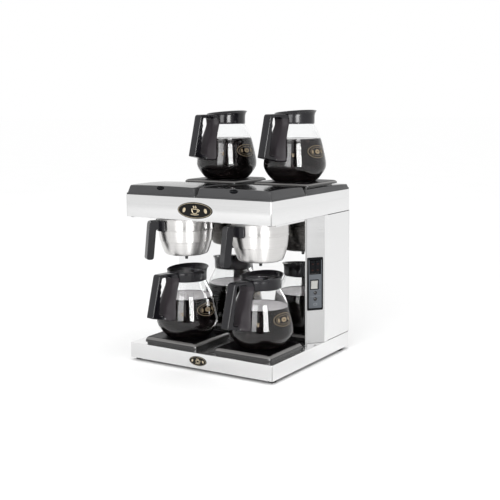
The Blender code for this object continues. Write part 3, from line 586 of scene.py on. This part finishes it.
def panel_frame(sign):
    """Placement of a control panel: X across its face, Y into the machine, Z up."""
    outer = Vector((sign * HALF, back(CHAMFER_START), 0))
    inner = Vector((sign * CHAMFER_X, back(CHAMFER_END), 0))
    along = (inner - outer).normalized()
    centre = outer + along * PANEL_FROM_EDGE + Vector((0, 0, PANEL_CENTRE_Z))
    across = along * -sign
    return Matrix.Translation(centre) @ Matrix.Rotation(atan2(across.y, across.x), 4, "Z")


def upright(outline_ring, depth):
    """A plan ring stood up in the panel's plane at a depth."""
    return [(px, depth, pz) for px, pz, _ in outline_ring]


def plate_in_panel(x, z, radius, front, rear, edge=0.0004):
    """A flat plate in the panel's plane, with an eased front edge."""
    face_radius = max(radius - edge, 0.0001)
    return loft([upright(rounded_rectangle(inset(x, edge), inset(z, edge), face_radius, 0), front),
                 upright(rounded_rectangle(x, z, radius, 0), front + edge),
                 upright(rounded_rectangle(x, z, radius, 0), rear)])


def rocker(width, height):
    """A dished rocker cap, its axis along X through the origin, its face towards -Y."""
    half, root = height / 2, 0.0045
    dish = [(-0.0028 - 0.0012 * (abs(i) / 6) ** 1.6, half * i / 6) for i in range(-6, 7)]
    side_view = dish + [(-0.0005, half), (root, half * 0.45), (root, -half * 0.45), (-0.0005, -half)]
    return loft([[(x, y, z) for y, z in side_view] for x in (-width / 2, width / 2)])


def ring_mark(radius, width, front, rear, x=0.0, z=0.0, stretch=1.0):
    """A flat ring in the panel's plane; `stretch` widens it into an oval."""
    rings = []
    for r, depth in ((radius, rear), (radius, front), (radius - width, front), (radius - width, rear)):
        wide = r + radius * (stretch - 1)
        rings.append([(x + wide * px, depth, z + r * pz) for px, pz, _ in circle(1.0, 0.0, 40)])
    return loft(rings, closed=True)


def make_panel(side, sign):
    place = panel_frame(sign)
    x, z = (-PANEL_HALF[0], PANEL_HALF[0]), (-PANEL_HALF[1], PANEL_HALF[1])
    shift = SWITCH_SHIFT * sign
    holes = ((0.0, WINDOW_Z, WINDOW_HALF), (shift, SWITCH_Z, SWITCH_HALF))

    def through(cx, cz, half, margin=0.0):
        return block((cx - half[0] - margin, cx + half[0] + margin), (-0.02, 0.02),
                     (cz - half[1] - margin, cz + half[1] + margin))

    edge = 0.0007
    neck = (PANEL_HALF[0] - 0.0025, PANEL_HALF[1] - 0.0025)
    ease = edge * 0.3
    rings = [upright(rounded_rectangle(inset(x, edge), inset(z, edge), 0.0018, 0), -BEZEL),
             upright(rounded_rectangle(inset(x, ease), inset(z, ease), 0.0023, 0), -BEZEL + ease),
             upright(rounded_rectangle(x, z, 0.0025, 0), -BEZEL + edge),
             upright(rounded_rectangle(x, z, 0.0025, 0), -GAP),
             upright(rounded_rectangle((-neck[0], neck[0]), (-neck[1], neck[1]), 0.001, 0), -GAP),
             upright(rounded_rectangle((-neck[0], neck[0]), (-neck[1], neck[1]), 0.001, 0), 0.009)]
    frame_body = carve(loft(rings), *[through(*hole) for hole in holes])
    piece(f"panel_bezel_{side}", moved(frame_body, place), PANEL_BLACK, "chassis",
          [f"control_panel_{side}"])

    label_front = -BEZEL - 0.00025
    label = plate_in_panel(inset(x, 0.0042), inset(z, 0.0060), 0.0015, label_front, -BEZEL + 0.0002, 0.0001)
    label = carve(label, *[through(cx, cz, half, 0.0018) for cx, cz, half in holes])
    piece(f"panel_label_{side}", moved(label, place), LABEL, "chassis")

    for i, lamp_z in enumerate(LAMPS_Z):
        lens = [(0.0038, 0.0), (0.0038, 0.0008), (0.0030, 0.0014), (0.0012, 0.0017)]
        lens_piece = moved(turned(lens, 40), facing((0, -1, 0), (0, -BEZEL, lamp_z)))
        piece(f"lamp_{side}_{i}", moved(lens_piece, place), LAMP, "chassis")
        collar = ring_mark(0.0046, 0.0007, label_front - 0.0003, -BEZEL, 0.0, lamp_z)
        piece(f"lamp_collar_{side}_{i}", moved(collar, place), PANEL_BLACK, "chassis")
        line = plate_in_panel((-0.0150, 0.0150), (lamp_z + 0.0073, lamp_z + 0.0077), 0.0001,
                              label_front - 0.00008, label_front + 0.0001, 0.00003)
        piece(f"label_line_{side}_{i}", moved(line, place), LABEL_MARK, "chassis")
    emblem = ring_mark(0.0030, 0.0007, label_front - 0.0001, label_front + 0.0001, 0.0, -0.0520, 1.8)
    piece(f"label_oval_{side}", moved(emblem, place), LABEL_MARK, "chassis")

    switches = (("plate_rocker_upper", -0.0069, WINDOW_Z, (0.0130, 0.0330), PANEL_BLACK, "gloss_black"),
                ("plate_rocker_lower", 0.0069, WINDOW_Z, (0.0130, 0.0330), PANEL_BLACK, "gloss_black"),
                ("brew_rocker", shift, SWITCH_Z, (0.0180, 0.0210), WHITE_PLASTIC, "white_plastic"))
    for label_name, px, pz, size, mat, slot in switches:
        pivot = place @ Matrix.Translation((px, ROCKER_PIVOT, pz)) @ Matrix.Rotation(ROCKER_TILT, 4, "X")
        body = f"{label_name}_{side}"
        piece(f"{body}_cap", moved(rocker(*size), pivot), mat, body, [body], bevel=0.0006)
        if mat is PANEL_BLACK:
            for i, mark_z in enumerate((-0.0085, 0.0075)):
                mark = plate_in_panel((-0.0026, 0.0026), (mark_z - 0.0020, mark_z + 0.0020), 0.0004,
                                      -0.0042, -0.0020)
                piece(f"{body}_mark_{i}", moved(mark, pivot), RED_MARK, body)


# -------------------- lids, covers and hot plates
LID_RIDGE = 0.062                # depth of the lid's highest line


def make_lid(side, sign):
    low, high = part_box(f"fill_lid_{side}")
    x, y, foot = (low[0], high[0]), (low[1], high[1]), low[2]
    middle, half, crown = (x[0] + x[1]) / 2, (x[1] - x[0]) / 2, high[2]

    def top(px, py):
        depth = py - FRONT
        across = (px - middle) / half
        forward = depth < LID_RIDGE
        along = (depth - LID_RIDGE) / (LID_RIDGE if forward else y[1] - back(LID_RIDGE))
        return crown - 0.0015 * across ** 2 - (0.0015 if forward else 0.0032) * along ** 2

    def ring(amount, z, radius=0.004):
        return rounded_rectangle(inset(x, amount), inset(y, amount), radius, z, steps=5, divisions=10)

    def below(drop):
        return lambda px, py: top(px, py) - drop

    outer = [ring(0.0, foot), ring(0.0, foot + 0.0028), ring(0.0003, foot + 0.0034),
             ring(0.0014, foot + 0.0038), ring(0.0021, foot + 0.0046), ring(0.0058, below(0.0034), 0.0055),
             ring(0.0062, below(0.0019), 0.006), ring(0.0070, below(0.0007), 0.006),
             ring(0.0082, below(0.0001), 0.006), ring(0.0096, top, 0.006)]
    outer += [ring(0.012 + 0.0065 * i, top, 0.006) for i in range(11)]
    hollow = [rounded_rectangle(inset(x, amount), (y[0] + 0.016, y[1] - amount), 0.004, z, 5, 10)
              for amount, z in ((0.0105, foot + 0.0169), (0.0045, foot))]
    notch = bmesh.new()
    bmesh.ops.create_uvsphere(notch, u_segments=64, v_segments=32, radius=1.0)
    scoop = Matrix.Translation((sign * 0.108, back(0.0040), crown - 0.0062))
    scoop @= Matrix.Diagonal((0.0125, 0.0065, 0.0052, 1))
    shell = carve(loft(outer[::-1] + hollow[::-1]), moved(notch, scoop))
    body = f"fill_lid_{side}"
    lid = piece(f"lid_shell_{side}", shell, LID_TOP, body, [body])
    # painted light on the lid faces that do not look up
    two_tone(lid, LIT_LID_SIDES)
    # painted shade: the hollow of the finger notch gets the panel's deeper black
    unscoop, corners = scoop.inverted(), lid.data.vertices
    paint(lid, PANEL_BLACK,
          lambda face: all((unscoop @ corners[i].co).length < 1.01 for i in face.vertices))


def make_cover(side):
    low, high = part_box(f"top_cover_{side}")
    x, y, foot, crown = (low[0], high[0]), (low[1], high[1]), low[2], high[2]
    flat_end, rear_fall = back(0.342), 0.002

    def top(px, py):
        return crown - rear_fall * max(0.0, (py - flat_end) / (y[1] - flat_end))

    def ring(amount, z, radius=0.004):
        return rounded_rectangle(inset(x, amount), inset(y, amount), radius, z, steps=5, divisions=4)

    def below(drop):
        return lambda px, py: top(px, py) - drop

    outer = [ring(0.0, foot), ring(0.0, foot + 0.0028), ring(0.0003, foot + 0.0034),
             ring(0.0012, foot + 0.0038), ring(0.0018, foot + 0.0046), ring(0.0038, below(0.0020)),
             ring(0.0041, below(0.0010)), ring(0.0048, below(0.0003)), ring(0.0058, top), ring(0.0150, top)]
    hollow = [ring(0.0075, crown - 0.0045), ring(0.0030, foot)]
    shell = loft(outer[::-1] + hollow[::-1])
    cover = piece(f"cover_shell_{side}", shell, LID_TOP, "chassis", [f"top_cover_{side}"])
    # painted light on the cover faces that do not look up
    two_tone(cover, LIT_LID_SIDES)


def make_hot_plate(level, side):
    name = f"hot_plate_{level}_{side}"
    low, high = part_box(name)
    x, y, foot, top = (low[0], high[0]), (low[1], high[1]), low[2], high[2]
    bevel, thick, lip = 0.008, 0.0015, 0.0020
    rim_drop, skirt = (0.0115, 0.0030) if level == "lower" else (0.0060, 0.0095)

    def ring(amount, z, radius=0.008):
        return rounded_rectangle(inset(x, amount), inset(y, amount), radius, z, steps=8)

    rings = [ring(bevel + 0.0035, top - 0.0003), ring(bevel + 0.0020, top),
             ring(bevel + 0.0006, top - 0.0001)]
    turns = 7
    for i in range(1, turns + 1):
        angle = pi / 2 * i / turns
        rings.append(ring(bevel * (1 - sin(angle)), top - 0.0002 - (rim_drop - 0.0002) * (1 - cos(angle))))
    rings += [ring(0.0, top - rim_drop - lip + 0.0004), ring(0.0004, top - rim_drop - lip),
             ring(skirt, top - rim_drop - lip), ring(skirt, foot), ring(skirt + thick, foot),
             ring(max(skirt, bevel) + thick, top - thick)]
    plate = piece(f"plate_{level}_{side}", loft(rings), ENAMEL, "chassis", [name])
    # painted light on the rim, then painted shade on its steep faces
    two_tone(plate, LIT_PLATE_RIM)
    two_tone(plate, SHADED_PLATE_EDGE, 0.35)


# -------------------- baskets
BASKET_GRASP = 0.0713            # inner radius of the moulding that holds a basket
BASKET_TURN = {"left": 235.5, "right": 243.5}


def make_basket(side):
    low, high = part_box(f"filter_basket_{side}")
    (x, y, _), top = middle_of(low, high), high[2]
    place = Matrix.Translation((x, y, 0)) @ Matrix.Rotation(radians(BASKET_TURN[side]), 4, "Z")
    body = f"brew_basket_{side}"
    outside = [(0.0100, 0.2755), (0.0440, 0.2757), (0.0492, 0.2765), (0.0530, 0.2783), (0.0555, 0.2815),
               (0.0573, 0.2858), (0.0608, 0.2950), (0.0633, 0.3040), (0.0654, 0.3112), (0.0664, 0.3120),
               (0.0668, 0.3150), (0.0691, 0.3330), (0.0694, 0.3388), (0.0706, 0.3396), (0.0711, 0.3410),
               (0.0706, 0.3424), (0.0700, 0.3434), (0.0700, top - 0.0022), (0.0702, top - 0.0016),
               (0.0740, top - 0.0014), (0.0745, top - 0.0008), (0.0742, top - 0.0002), (0.0735, top)]
    inside = [(0.0700, top), (0.0691, top - 0.0008), (0.0690, 0.3430), (0.0680, 0.3330), (0.0650, 0.3125),
              (0.0598, 0.2952), (0.0563, 0.2860), (0.0545, 0.2820), (0.0522, 0.2793), (0.0488, 0.2776),
              (0.0440, 0.2768), (0.0100, 0.2766)]
    shell = moved(turned(outside + inside, closed=True), place)
    bowl = piece(f"basket_bowl_{side}", shell, BASKET_STEEL, body,
                 [f"filter_basket_{side}"])
    middle = Vector((x, y))
    # painted shade on the outside of the basket's back half
    paint(bowl, SHADED_BASKET_BACK,
          lambda face: face.normal.y > 0.25 and (face.center.xy - middle).dot(face.normal.xy) > 0)
    nozzle = [(0.0030, 0.2620), (0.0036, 0.2626), (0.0038, 0.2670), (0.0048, 0.2743), (0.0104, 0.2752),
              (0.0108, 0.2768), (0.0100, 0.2774), (0.0020, 0.2774), (0.0020, 0.2620)]
    nozzle_shell = moved(turned(nozzle, 40, closed=True), place)
    piece(f"drip_nozzle_{side}", nozzle_shell, HANDLE_BLACK, body)
    piece(f"basket_grip_{side}", moved(basket_grip(), place), HANDLE_BLACK, body,
          [f"basket_handle_{side}"], bevel=0.0022)
    piece(f"basket_bracket_{side}", moved(basket_bracket(), place), HANDLE_BLACK, body,
          [f"basket_handle_{side}"], bevel=0.0010)
    for i, height in enumerate((0.3480, 0.3590)):
        rivet = moved(turned([(0.0030, 0.0), (0.0030, 0.0006), (0.0022, 0.0013), (0.0010, 0.0016)], 32),
                      facing((-1, 0, 0), (0.0691, 0, height)))
        piece(f"basket_rivet_{side}_{i}", moved(rivet, place), DULL_METAL, body)


def basket_grip():
    """Arm and leaning grip, drawn in the radial plane and given a width."""
    profile = [(BASKET_GRASP, 0.3640), (0.0905, 0.3640), (0.0960, 0.3618), (0.0982, 0.3560),
               (0.1070, 0.2732), (0.1058, 0.2690), (0.1012, 0.2675), (0.0938, 0.2675),
               (0.0900, 0.2697), (0.0887, 0.2740), (0.0813, 0.3395), (0.0803, 0.3425),
               (0.0785, 0.3432), (0.0768, 0.3420), (0.0762, 0.3385), (BASKET_GRASP, 0.3385)]
    half = 0.0115
    return loft([[(r, offset, z) for r, z in profile] for offset in (-half, half)])


def basket_bracket():
    """Curved plate that holds the bowl below its flange."""
    steps, spread_angle, thick, z = 24, radians(27), 0.0040, (0.3378, 0.3645)
    rings = []
    for radius, height in ((BASKET_GRASP, z[0]), (BASKET_GRASP + thick, z[0]), (BASKET_GRASP + thick, z[1]),
                           (BASKET_GRASP, z[1])):
        angles = [spread_angle * (2 * i / steps - 1) for i in range(steps + 1)]
        rings.append([(radius * cos(a), radius * sin(a), height) for a in angles])
    return loft([list(ring) for ring in zip(*rings)])


# -------------------- jugs
JUG_TURN = -10.0
RIM_HEIGHT, RIM_TILT = 0.1718, 0.0044
RIM_SHIFT = 0.0033               # the rim's circle is set over towards the spout
COFFEE_LEVEL = {"lower_left": 0.101, "lower_right": 0.098, "upper_left": 0.105, "upper_right": 0.105}
BOWL = [(0.0500, 0.0), (0.0530, 0.0003), (0.0560, 0.0022), (0.0640, 0.0095), (0.0722, 0.0205),
        (0.0780, 0.0310), (0.0796, 0.0400), (0.0784, 0.0520), (0.0760, 0.0650), (0.0722, 0.0815),
        (0.0672, 0.1030), (0.0632, 0.1130), (0.0590, 0.1215), (0.0530, 0.1330), (0.0482, 0.1430),
        (0.0469, 0.1480), (0.0468, 0.1540), (0.0468, 0.1630)]
GLASS_WALL = 0.0020


def bowl_profile():
    return cut_corners(BOWL, 2)


def radius_at(profile, height):
    for (r0, z0), (r1, z1) in zip(profile, profile[1:]):
        if z0 <= height <= z1 and z1 > z0:
            return r0 + (r1 - r0) * (height - z0) / (z1 - z0)
    return profile[-1][0]


def jug_glass():
    outside = bowl_profile()
    lip = [(0.0466, 0.1636), (0.0460, 0.1640), (0.0452, 0.1637)]
    inside = [(r - GLASS_WALL, max(z, GLASS_WALL)) for r, z in outside[::-1] if z > GLASS_WALL * 0.5]
    inside.append((0.0480, GLASS_WALL * 1.15))
    return turned(outside + lip + inside, 128)


def jug_coffee(level):
    """Liquid that wets the inside of the glass, with a small meniscus at its edge."""
    wet, profile = 0.0002, bowl_profile()
    floor = GLASS_WALL - wet
    points = [(0.0480, floor)]
    points += [(r - GLASS_WALL + wet, max(z, floor)) for r, z in profile if floor < z < level]
    edge = radius_at(profile, level) - GLASS_WALL + wet
    points += [(edge, level + 0.0012), (edge - 0.0010, level + 0.0003), (edge - 0.0030, level)]
    return turned(points, 128)


def jug_collar():
    """Collar round the glass neck, flared to a rim that rises towards the spout at +Y."""
    profile = [(0.0486, 0.1430, 0.0), (0.0496, 0.1430, 0.0), (0.0501, 0.1436, 0.0), (0.0502, 0.1600, 0.1),
               (0.0504, 0.1640, 0.4), (0.0510, 0.1680, 0.75), (0.0524, 0.1710, 0.98),
               (0.0532, RIM_HEIGHT, 1.0), (0.0530, RIM_HEIGHT + 0.0010, 1.0),
               (0.0520, RIM_HEIGHT + 0.0010, 1.0), (0.0502, 0.1708, 0.95), (0.0482, 0.1684, 0.60),
               (0.0468, 0.1664, 0.20), (0.0455, 0.1655, 0.05), (0.0455, 0.1644, 0.0),
               (0.0472, 0.1642, 0.0), (0.0474, 0.1480, 0.0)]
    profile = cut_corners(profile, 1, closed=True)
    segments = 128
    rings = []
    for radius, height, lift in profile:
        ring = []
        for i in range(segments):
            angle = 2 * pi * i / segments
            spout = max(0.0, sin(angle)) ** 6 * lift
            ring.append((radius * cos(angle), radius * sin(angle) + RIM_SHIFT * lift ** 2,
                         height + RIM_TILT * lift * sin(angle) + 0.0003 * spout))
        rings.append(ring)
    return loft(rings, closed=True)


GRIP_SPAN, GRIP_STEPS, GROOVE = (0.150, 0.078), 10, 0.0017


def grip_stations():
    """The straight part of the grip; the finger side is lightly grooved."""
    stations = []
    for i in range(GRIP_STEPS + 1):
        z = GRIP_SPAN[0] + (GRIP_SPAN[1] - GRIP_SPAN[0]) * i / GRIP_STEPS
        fall = GRIP_SPAN[0] - z
        groove = GROOVE * (-1) ** i
        stations.append(((0.1067 + 0.252 * fall, z), (0.0950 + 0.135 * fall + groove, z - 0.0045), 0.0120))
    return stations


HANDLE_LOOP = [((0.0515, 0.1655), (0.0635, 0.1570), 0.0225), ((0.0600, 0.1672), (0.0690, 0.1582), 0.0160),
               ((0.0740, 0.1680), (0.0780, 0.1590), 0.0122), ((0.0940, 0.1680), (0.0900, 0.1592), 0.0120),
               ((0.1008, 0.1672), (0.0930, 0.1580), 0.0120), ((0.1036, 0.1630), (0.0940, 0.1540), 0.0120),
               *grip_stations(),
               ((0.1272, 0.0680), (0.1062, 0.0735), 0.0120), ((0.1284, 0.0632), (0.1060, 0.0700), 0.0120),
               ((0.1250, 0.0618), (0.1045, 0.0682), 0.0120), ((0.1120, 0.0590), (0.1005, 0.0668), 0.0120),
               ((0.0950, 0.0550), (0.0930, 0.0650), 0.0150), ((0.0840, 0.0524), (0.0895, 0.0665), 0.0300),
               ((0.0799, 0.0520), (0.0875, 0.0700), 0.0368), ((0.0787, 0.0570), (0.0860, 0.0790), 0.0368),
               ((0.0766, 0.0690), (0.0845, 0.0860), 0.0362), ((0.0704, 0.0980), (0.0775, 0.1020), 0.0332),
               ((0.0607, 0.1220), (0.0675, 0.1220), 0.0288), ((0.0525, 0.1400), (0.0622, 0.1390), 0.0252),
               ((0.0496, 0.1480), (0.0618, 0.1440), 0.0242)]
HANDLE_HALF = 0.012


def jug_handle():
    """Closed grip loop from the collar down to the glass. Each station has a jug-side and a finger-hole
    point (radius, height) and the half width of its jug side, which wraps round the jug if wide."""
    stations = cut_corners([outer + inner + (root,) for outer, inner, root in HANDLE_LOOP], 3, closed=True)
    rings = []
    for outer_r, outer_z, inner_r, inner_z, root in stations:
        outer, inner = Vector((outer_r, outer_z)), Vector((inner_r, inner_z))
        depth = (inner - outer).length
        step = (inner - outer) / depth
        radius = min(0.0030, depth * 0.42)
        section = rounded_rectangle((0.0, depth), (-HANDLE_HALF, HANDLE_HALF), radius, 0, 4, 3)
        hug = min(1.0, (root / HANDLE_HALF - 1) * 3)
        ring = []
        for along, offset, _ in section:
            point = outer + step * along
            offset *= 1 + (root / HANDLE_HALF - 1) * (1 - along / depth)
            set_back = outer_r - (outer_r ** 2 - offset ** 2) ** 0.5
            ring.append((offset, -(point.x - set_back * hug * (1 - along / depth)), point.y))
        rings.append(ring)
    return loft(rings, closed=True)


LEG_REACH, LEG_TOP = 0.0925, 0.155          # the matt part of the moulding lies inside these
# azimuth from the handle, height, size and band of each printed mark on a jug
JUG_PRINTS = ((90, 0.0750, (0.0620, 0.0310), 0.0010),        # two oval lines
              (90, 0.0750, (0.0480, 0.0210), 0.0006),
              (90, 0.0750, (0.0170, 0.0115), 0.0050),        # with three beans inside them,
              (77, 0.0750, (0.0060, 0.0090), 0.0026),
              (103, 0.0750, (0.0060, 0.0090), 0.0026),
              (36, 0.0705, (0.0100, 0.0020), 0.0009),        # and a level line over a drop
              (37, 0.0660, (0.0050, 0.0050), 0.0022))


def jug_print(azimuth, height, size, band):
    """An oval band of print that follows the side of the jug."""
    profile, segments = bowl_profile(), 64
    rings = []
    for shrink, lift in ((0.0, 0.00004), (0.0, 0.00022), (band, 0.00022), (band, 0.00004)):
        ring = []
        for i in range(segments):
            turn = 2 * pi * i / segments
            z = height + (size[1] / 2 - shrink) * sin(turn)
            radius = radius_at(profile, z) + lift
            angle = radians(azimuth) + (size[0] / 2 - shrink) * cos(turn) / radius
            ring.append((radius * sin(angle), -radius * cos(angle), z))
        rings.append(ring)
    return loft(rings, closed=True)


def make_jug(level, side):
    name = f"{level}_{side}"
    low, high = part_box(f"jug_glass_{name}")
    x, y, _ = middle_of(low, high)
    centre = (x, y, low[2])
    place = Matrix.Translation(centre) @ Matrix.Rotation(radians(JUG_TURN), 4, "Z")
    body = f"jug_{name}"

    def on_leg(face):
        spot = face.center - Vector(centre)
        return spot.xy.length < LEG_REACH and spot.z < LEG_TOP

    piece(f"decanter_{name}", moved(jug_glass(), place), GLASS, body, [f"jug_glass_{name}"],
          smooth=60)
    liquid = moved(jug_coffee(COFFEE_LEVEL[name]), place)
    # painted reflection: the coffee's upward faces are light, its other faces dark
    two_tone(piece(f"coffee_{name}", liquid, COFFEE_TOP_REFLECTION, body, smooth=60), COFFEE)
    piece(f"decanter_collar_{name}", moved(jug_collar(), place), HANDLE_BLACK, body,
          [f"jug_handle_{name}"], smooth=60)
    grip = piece(f"decanter_grip_{name}", moved(jug_handle(), place), HANDLE_BLACK, body,
                 [f"jug_handle_{name}"], smooth=60)
    paint(grip, HANDLE_MATT, on_leg)
    for i, (azimuth, height, size, band) in enumerate(JUG_PRINTS):
        mark = jug_print(azimuth, height, size, band)
        piece(f"decanter_print_{name}_{i}", moved(mark, place), PRINT_GOLD, body, smooth=60)


# -------------------- badges, feet and gland
def ellipse(width, height, shrink, depth, segments=72):
    """One ring in an upright plane, drawn in from the full oval by `shrink`."""
    return [((width / 2 - shrink) * px, depth, (height / 2 - shrink) * pz)
            for px, pz, _ in circle(1.0, 0.0, segments)]


def oval(width, height, front, rear, edge, segments=72):
    """An oval plate facing -Y, with an eased front edge."""
    steps = ((edge, front), (edge * 0.3, front + edge * 0.3), (0.0, front + edge), (0.0, rear))
    return loft([ellipse(width, height, shrink, depth, segments) for shrink, depth in steps])


def oval_ring(width, height, band, front, rear):
    steps = ((0.0, rear), (0.0, front), (band, front), (band, rear))
    return loft([ellipse(width, height, shrink, depth) for shrink, depth in steps], closed=True)


def wire(points, radius):
    """A slightly flattened wire through points that all lie in the XZ plane."""
    rings = []
    for i, point in enumerate(points):
        ahead, behind = points[min(i + 1, len(points) - 1)], points[max(i - 1, 0)]
        run = (ahead - behind).normalized()
        side, depth = Vector((-run.z, 0, run.x)), Vector((0, radius * 0.6, 0))
        rings.append([point + side * radius * across + depth * along
                      for across, along, _ in circle(1.0, 0.0, 10)])
    return loft(rings)


def cup_emblem(size, y):
    """A plain cup with a saucer and two curls of steam, as separate raised strokes."""
    stroke = size * 0.045

    def path(points, rounds=2):
        return [Vector((px * size, y, pz * size)) for px, pz in cut_corners(points, rounds)]

    bowl = path([(-0.34, 0.14), (-0.32, -0.10), (-0.18, -0.30), (0.18, -0.30), (0.32, -0.10), (0.34, 0.14)])
    rim = path([(-0.38, 0.14), (0.38, 0.14)], 0)
    handle = path([(0.33, 0.08), (0.52, 0.10), (0.52, -0.10), (0.29, -0.12)])
    saucer = path([(-0.46, -0.36), (-0.20, -0.42), (0.20, -0.42), (0.46, -0.36)])
    steam = [path([(cx, 0.22), (cx + 0.08, 0.30), (cx - 0.08, 0.38), (cx, 0.46)]) for cx in (-0.12, 0.12)]
    return [wire(line, stroke) for line in (bowl, rim, handle, saucer, *steam)]


def make_badge(name):
    low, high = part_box(name)
    width, height = high[0] - low[0], high[2] - low[2]
    x, face, z = middle_of(low, high)[0], low[1], middle_of(low, high)[2]
    place = Matrix.Translation((x, 0, z))
    plate = oval(width, height, face + 0.0002, high[1], 0.0005)
    piece(f"{name}_plate", moved(plate, place), BADGE_BLACK, "chassis", [name])
    rim = oval_ring(width * 0.955, height * 0.90, height * 0.020, face, face + 0.0005)
    piece(f"{name}_rim", moved(rim, place), GOLD, "chassis")
    size = height * 0.62
    for i, stroke in enumerate(cup_emblem(size, face + 0.0003)):
        piece(f"{name}_cup_{i}", moved(stroke, place), GOLD, "chassis", smooth=60)
    for side, sign in SIDES.items():
        bean = oval(height * 0.20, height * 0.30, face, face + 0.0004, 0.0002, 32)
        turn = Matrix.Rotation(radians(-25 * sign), 4, "Y")
        spot = Matrix.Translation((sign * width * 0.31, 0, 0))
        piece(f"{name}_bean_{side}", moved(bean, place @ spot @ turn), GOLD, "chassis")


def make_feet():
    for end in ("front", "rear"):
        for side in SIDES:
            low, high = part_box(f"foot_{end}_{side}")
            (x, y, _), top = middle_of(low, high), high[2]
            place = Matrix.Translation((x, y, 0))
            profile = [(0.0086, 0.0), (0.0098, 0.0004), (0.0108, 0.0014), (0.0116, 0.0040),
                       (0.0122, top - 0.0010), (0.0125, top - 0.0006), (0.0125, top)]
            foot = moved(turned(profile, 48), place)
            piece(f"rubber_foot_{end}_{side}", foot, RUBBER_AND_UNDERSIDE_SHADE, "chassis", [f"foot_{end}_{side}"])


def make_gland():
    low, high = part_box("cable_gland")
    x, _, z = middle_of(low, high)
    place = facing((0, 1, 0), (x, REAR, z))
    hexagon = turned([(0.0125, GAP), (0.0125, 0.0052)], 6)
    piece("gland_nut", moved(hexagon, place), HANDLE_BLACK, "chassis", ["cable_gland"],
          bevel=0.0008)
    dome = [(0.0100, 0.0050), (0.0104, 0.0062), (0.0096, 0.0090), (0.0075, 0.0106), (0.0058, 0.0110),
            (0.0042, 0.0106), (0.0040, 0.0090), (0.0040, 0.0060)]
    piece("gland_dome", moved(turned(dome, 48), place), HANDLE_BLACK, "chassis")


# -------------------- CAD nodes that stay as they are
# base_floor gets the black rubber as painted shade under the base
KEPT = (("base_floor", RUBBER_AND_UNDERSIDE_SHADE), ("brew_plate", STEEL), ("rear_panel", STEEL), ("basket_rail", STEEL),
        ("terminal_block", WHITE_PLASTIC), ("spray_head", WHITE_PLASTIC), ("water_tank", TANK_PLASTIC),
        ("feed_tube", SILICONE), ("riser_tube", SILICONE), ("flow_heater", DULL_METAL),
        ("plate_heater", DULL_METAL))


def dress_kept_nodes():
    for name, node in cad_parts.items():
        for stem, mat in KEPT:
            if name.startswith(stem):
                node.data.materials.clear()
                node.data.materials.append(mat)


def main():
    make_camera()
    make_studio()
    make_chassis()
    make_column()
    make_feet()
    make_gland()
    for side, sign in SIDES.items():
        make_panel(side, sign)
        make_lid(side, sign)
        make_cover(side)
        make_basket(side)
    for level in LEVELS:
        for side in SIDES:
            make_hot_plate(level, side)
            make_jug(level, side)
    for badge in ("hood_badge", "base_badge"):
        make_badge(badge)
    dress_kept_nodes()


main()
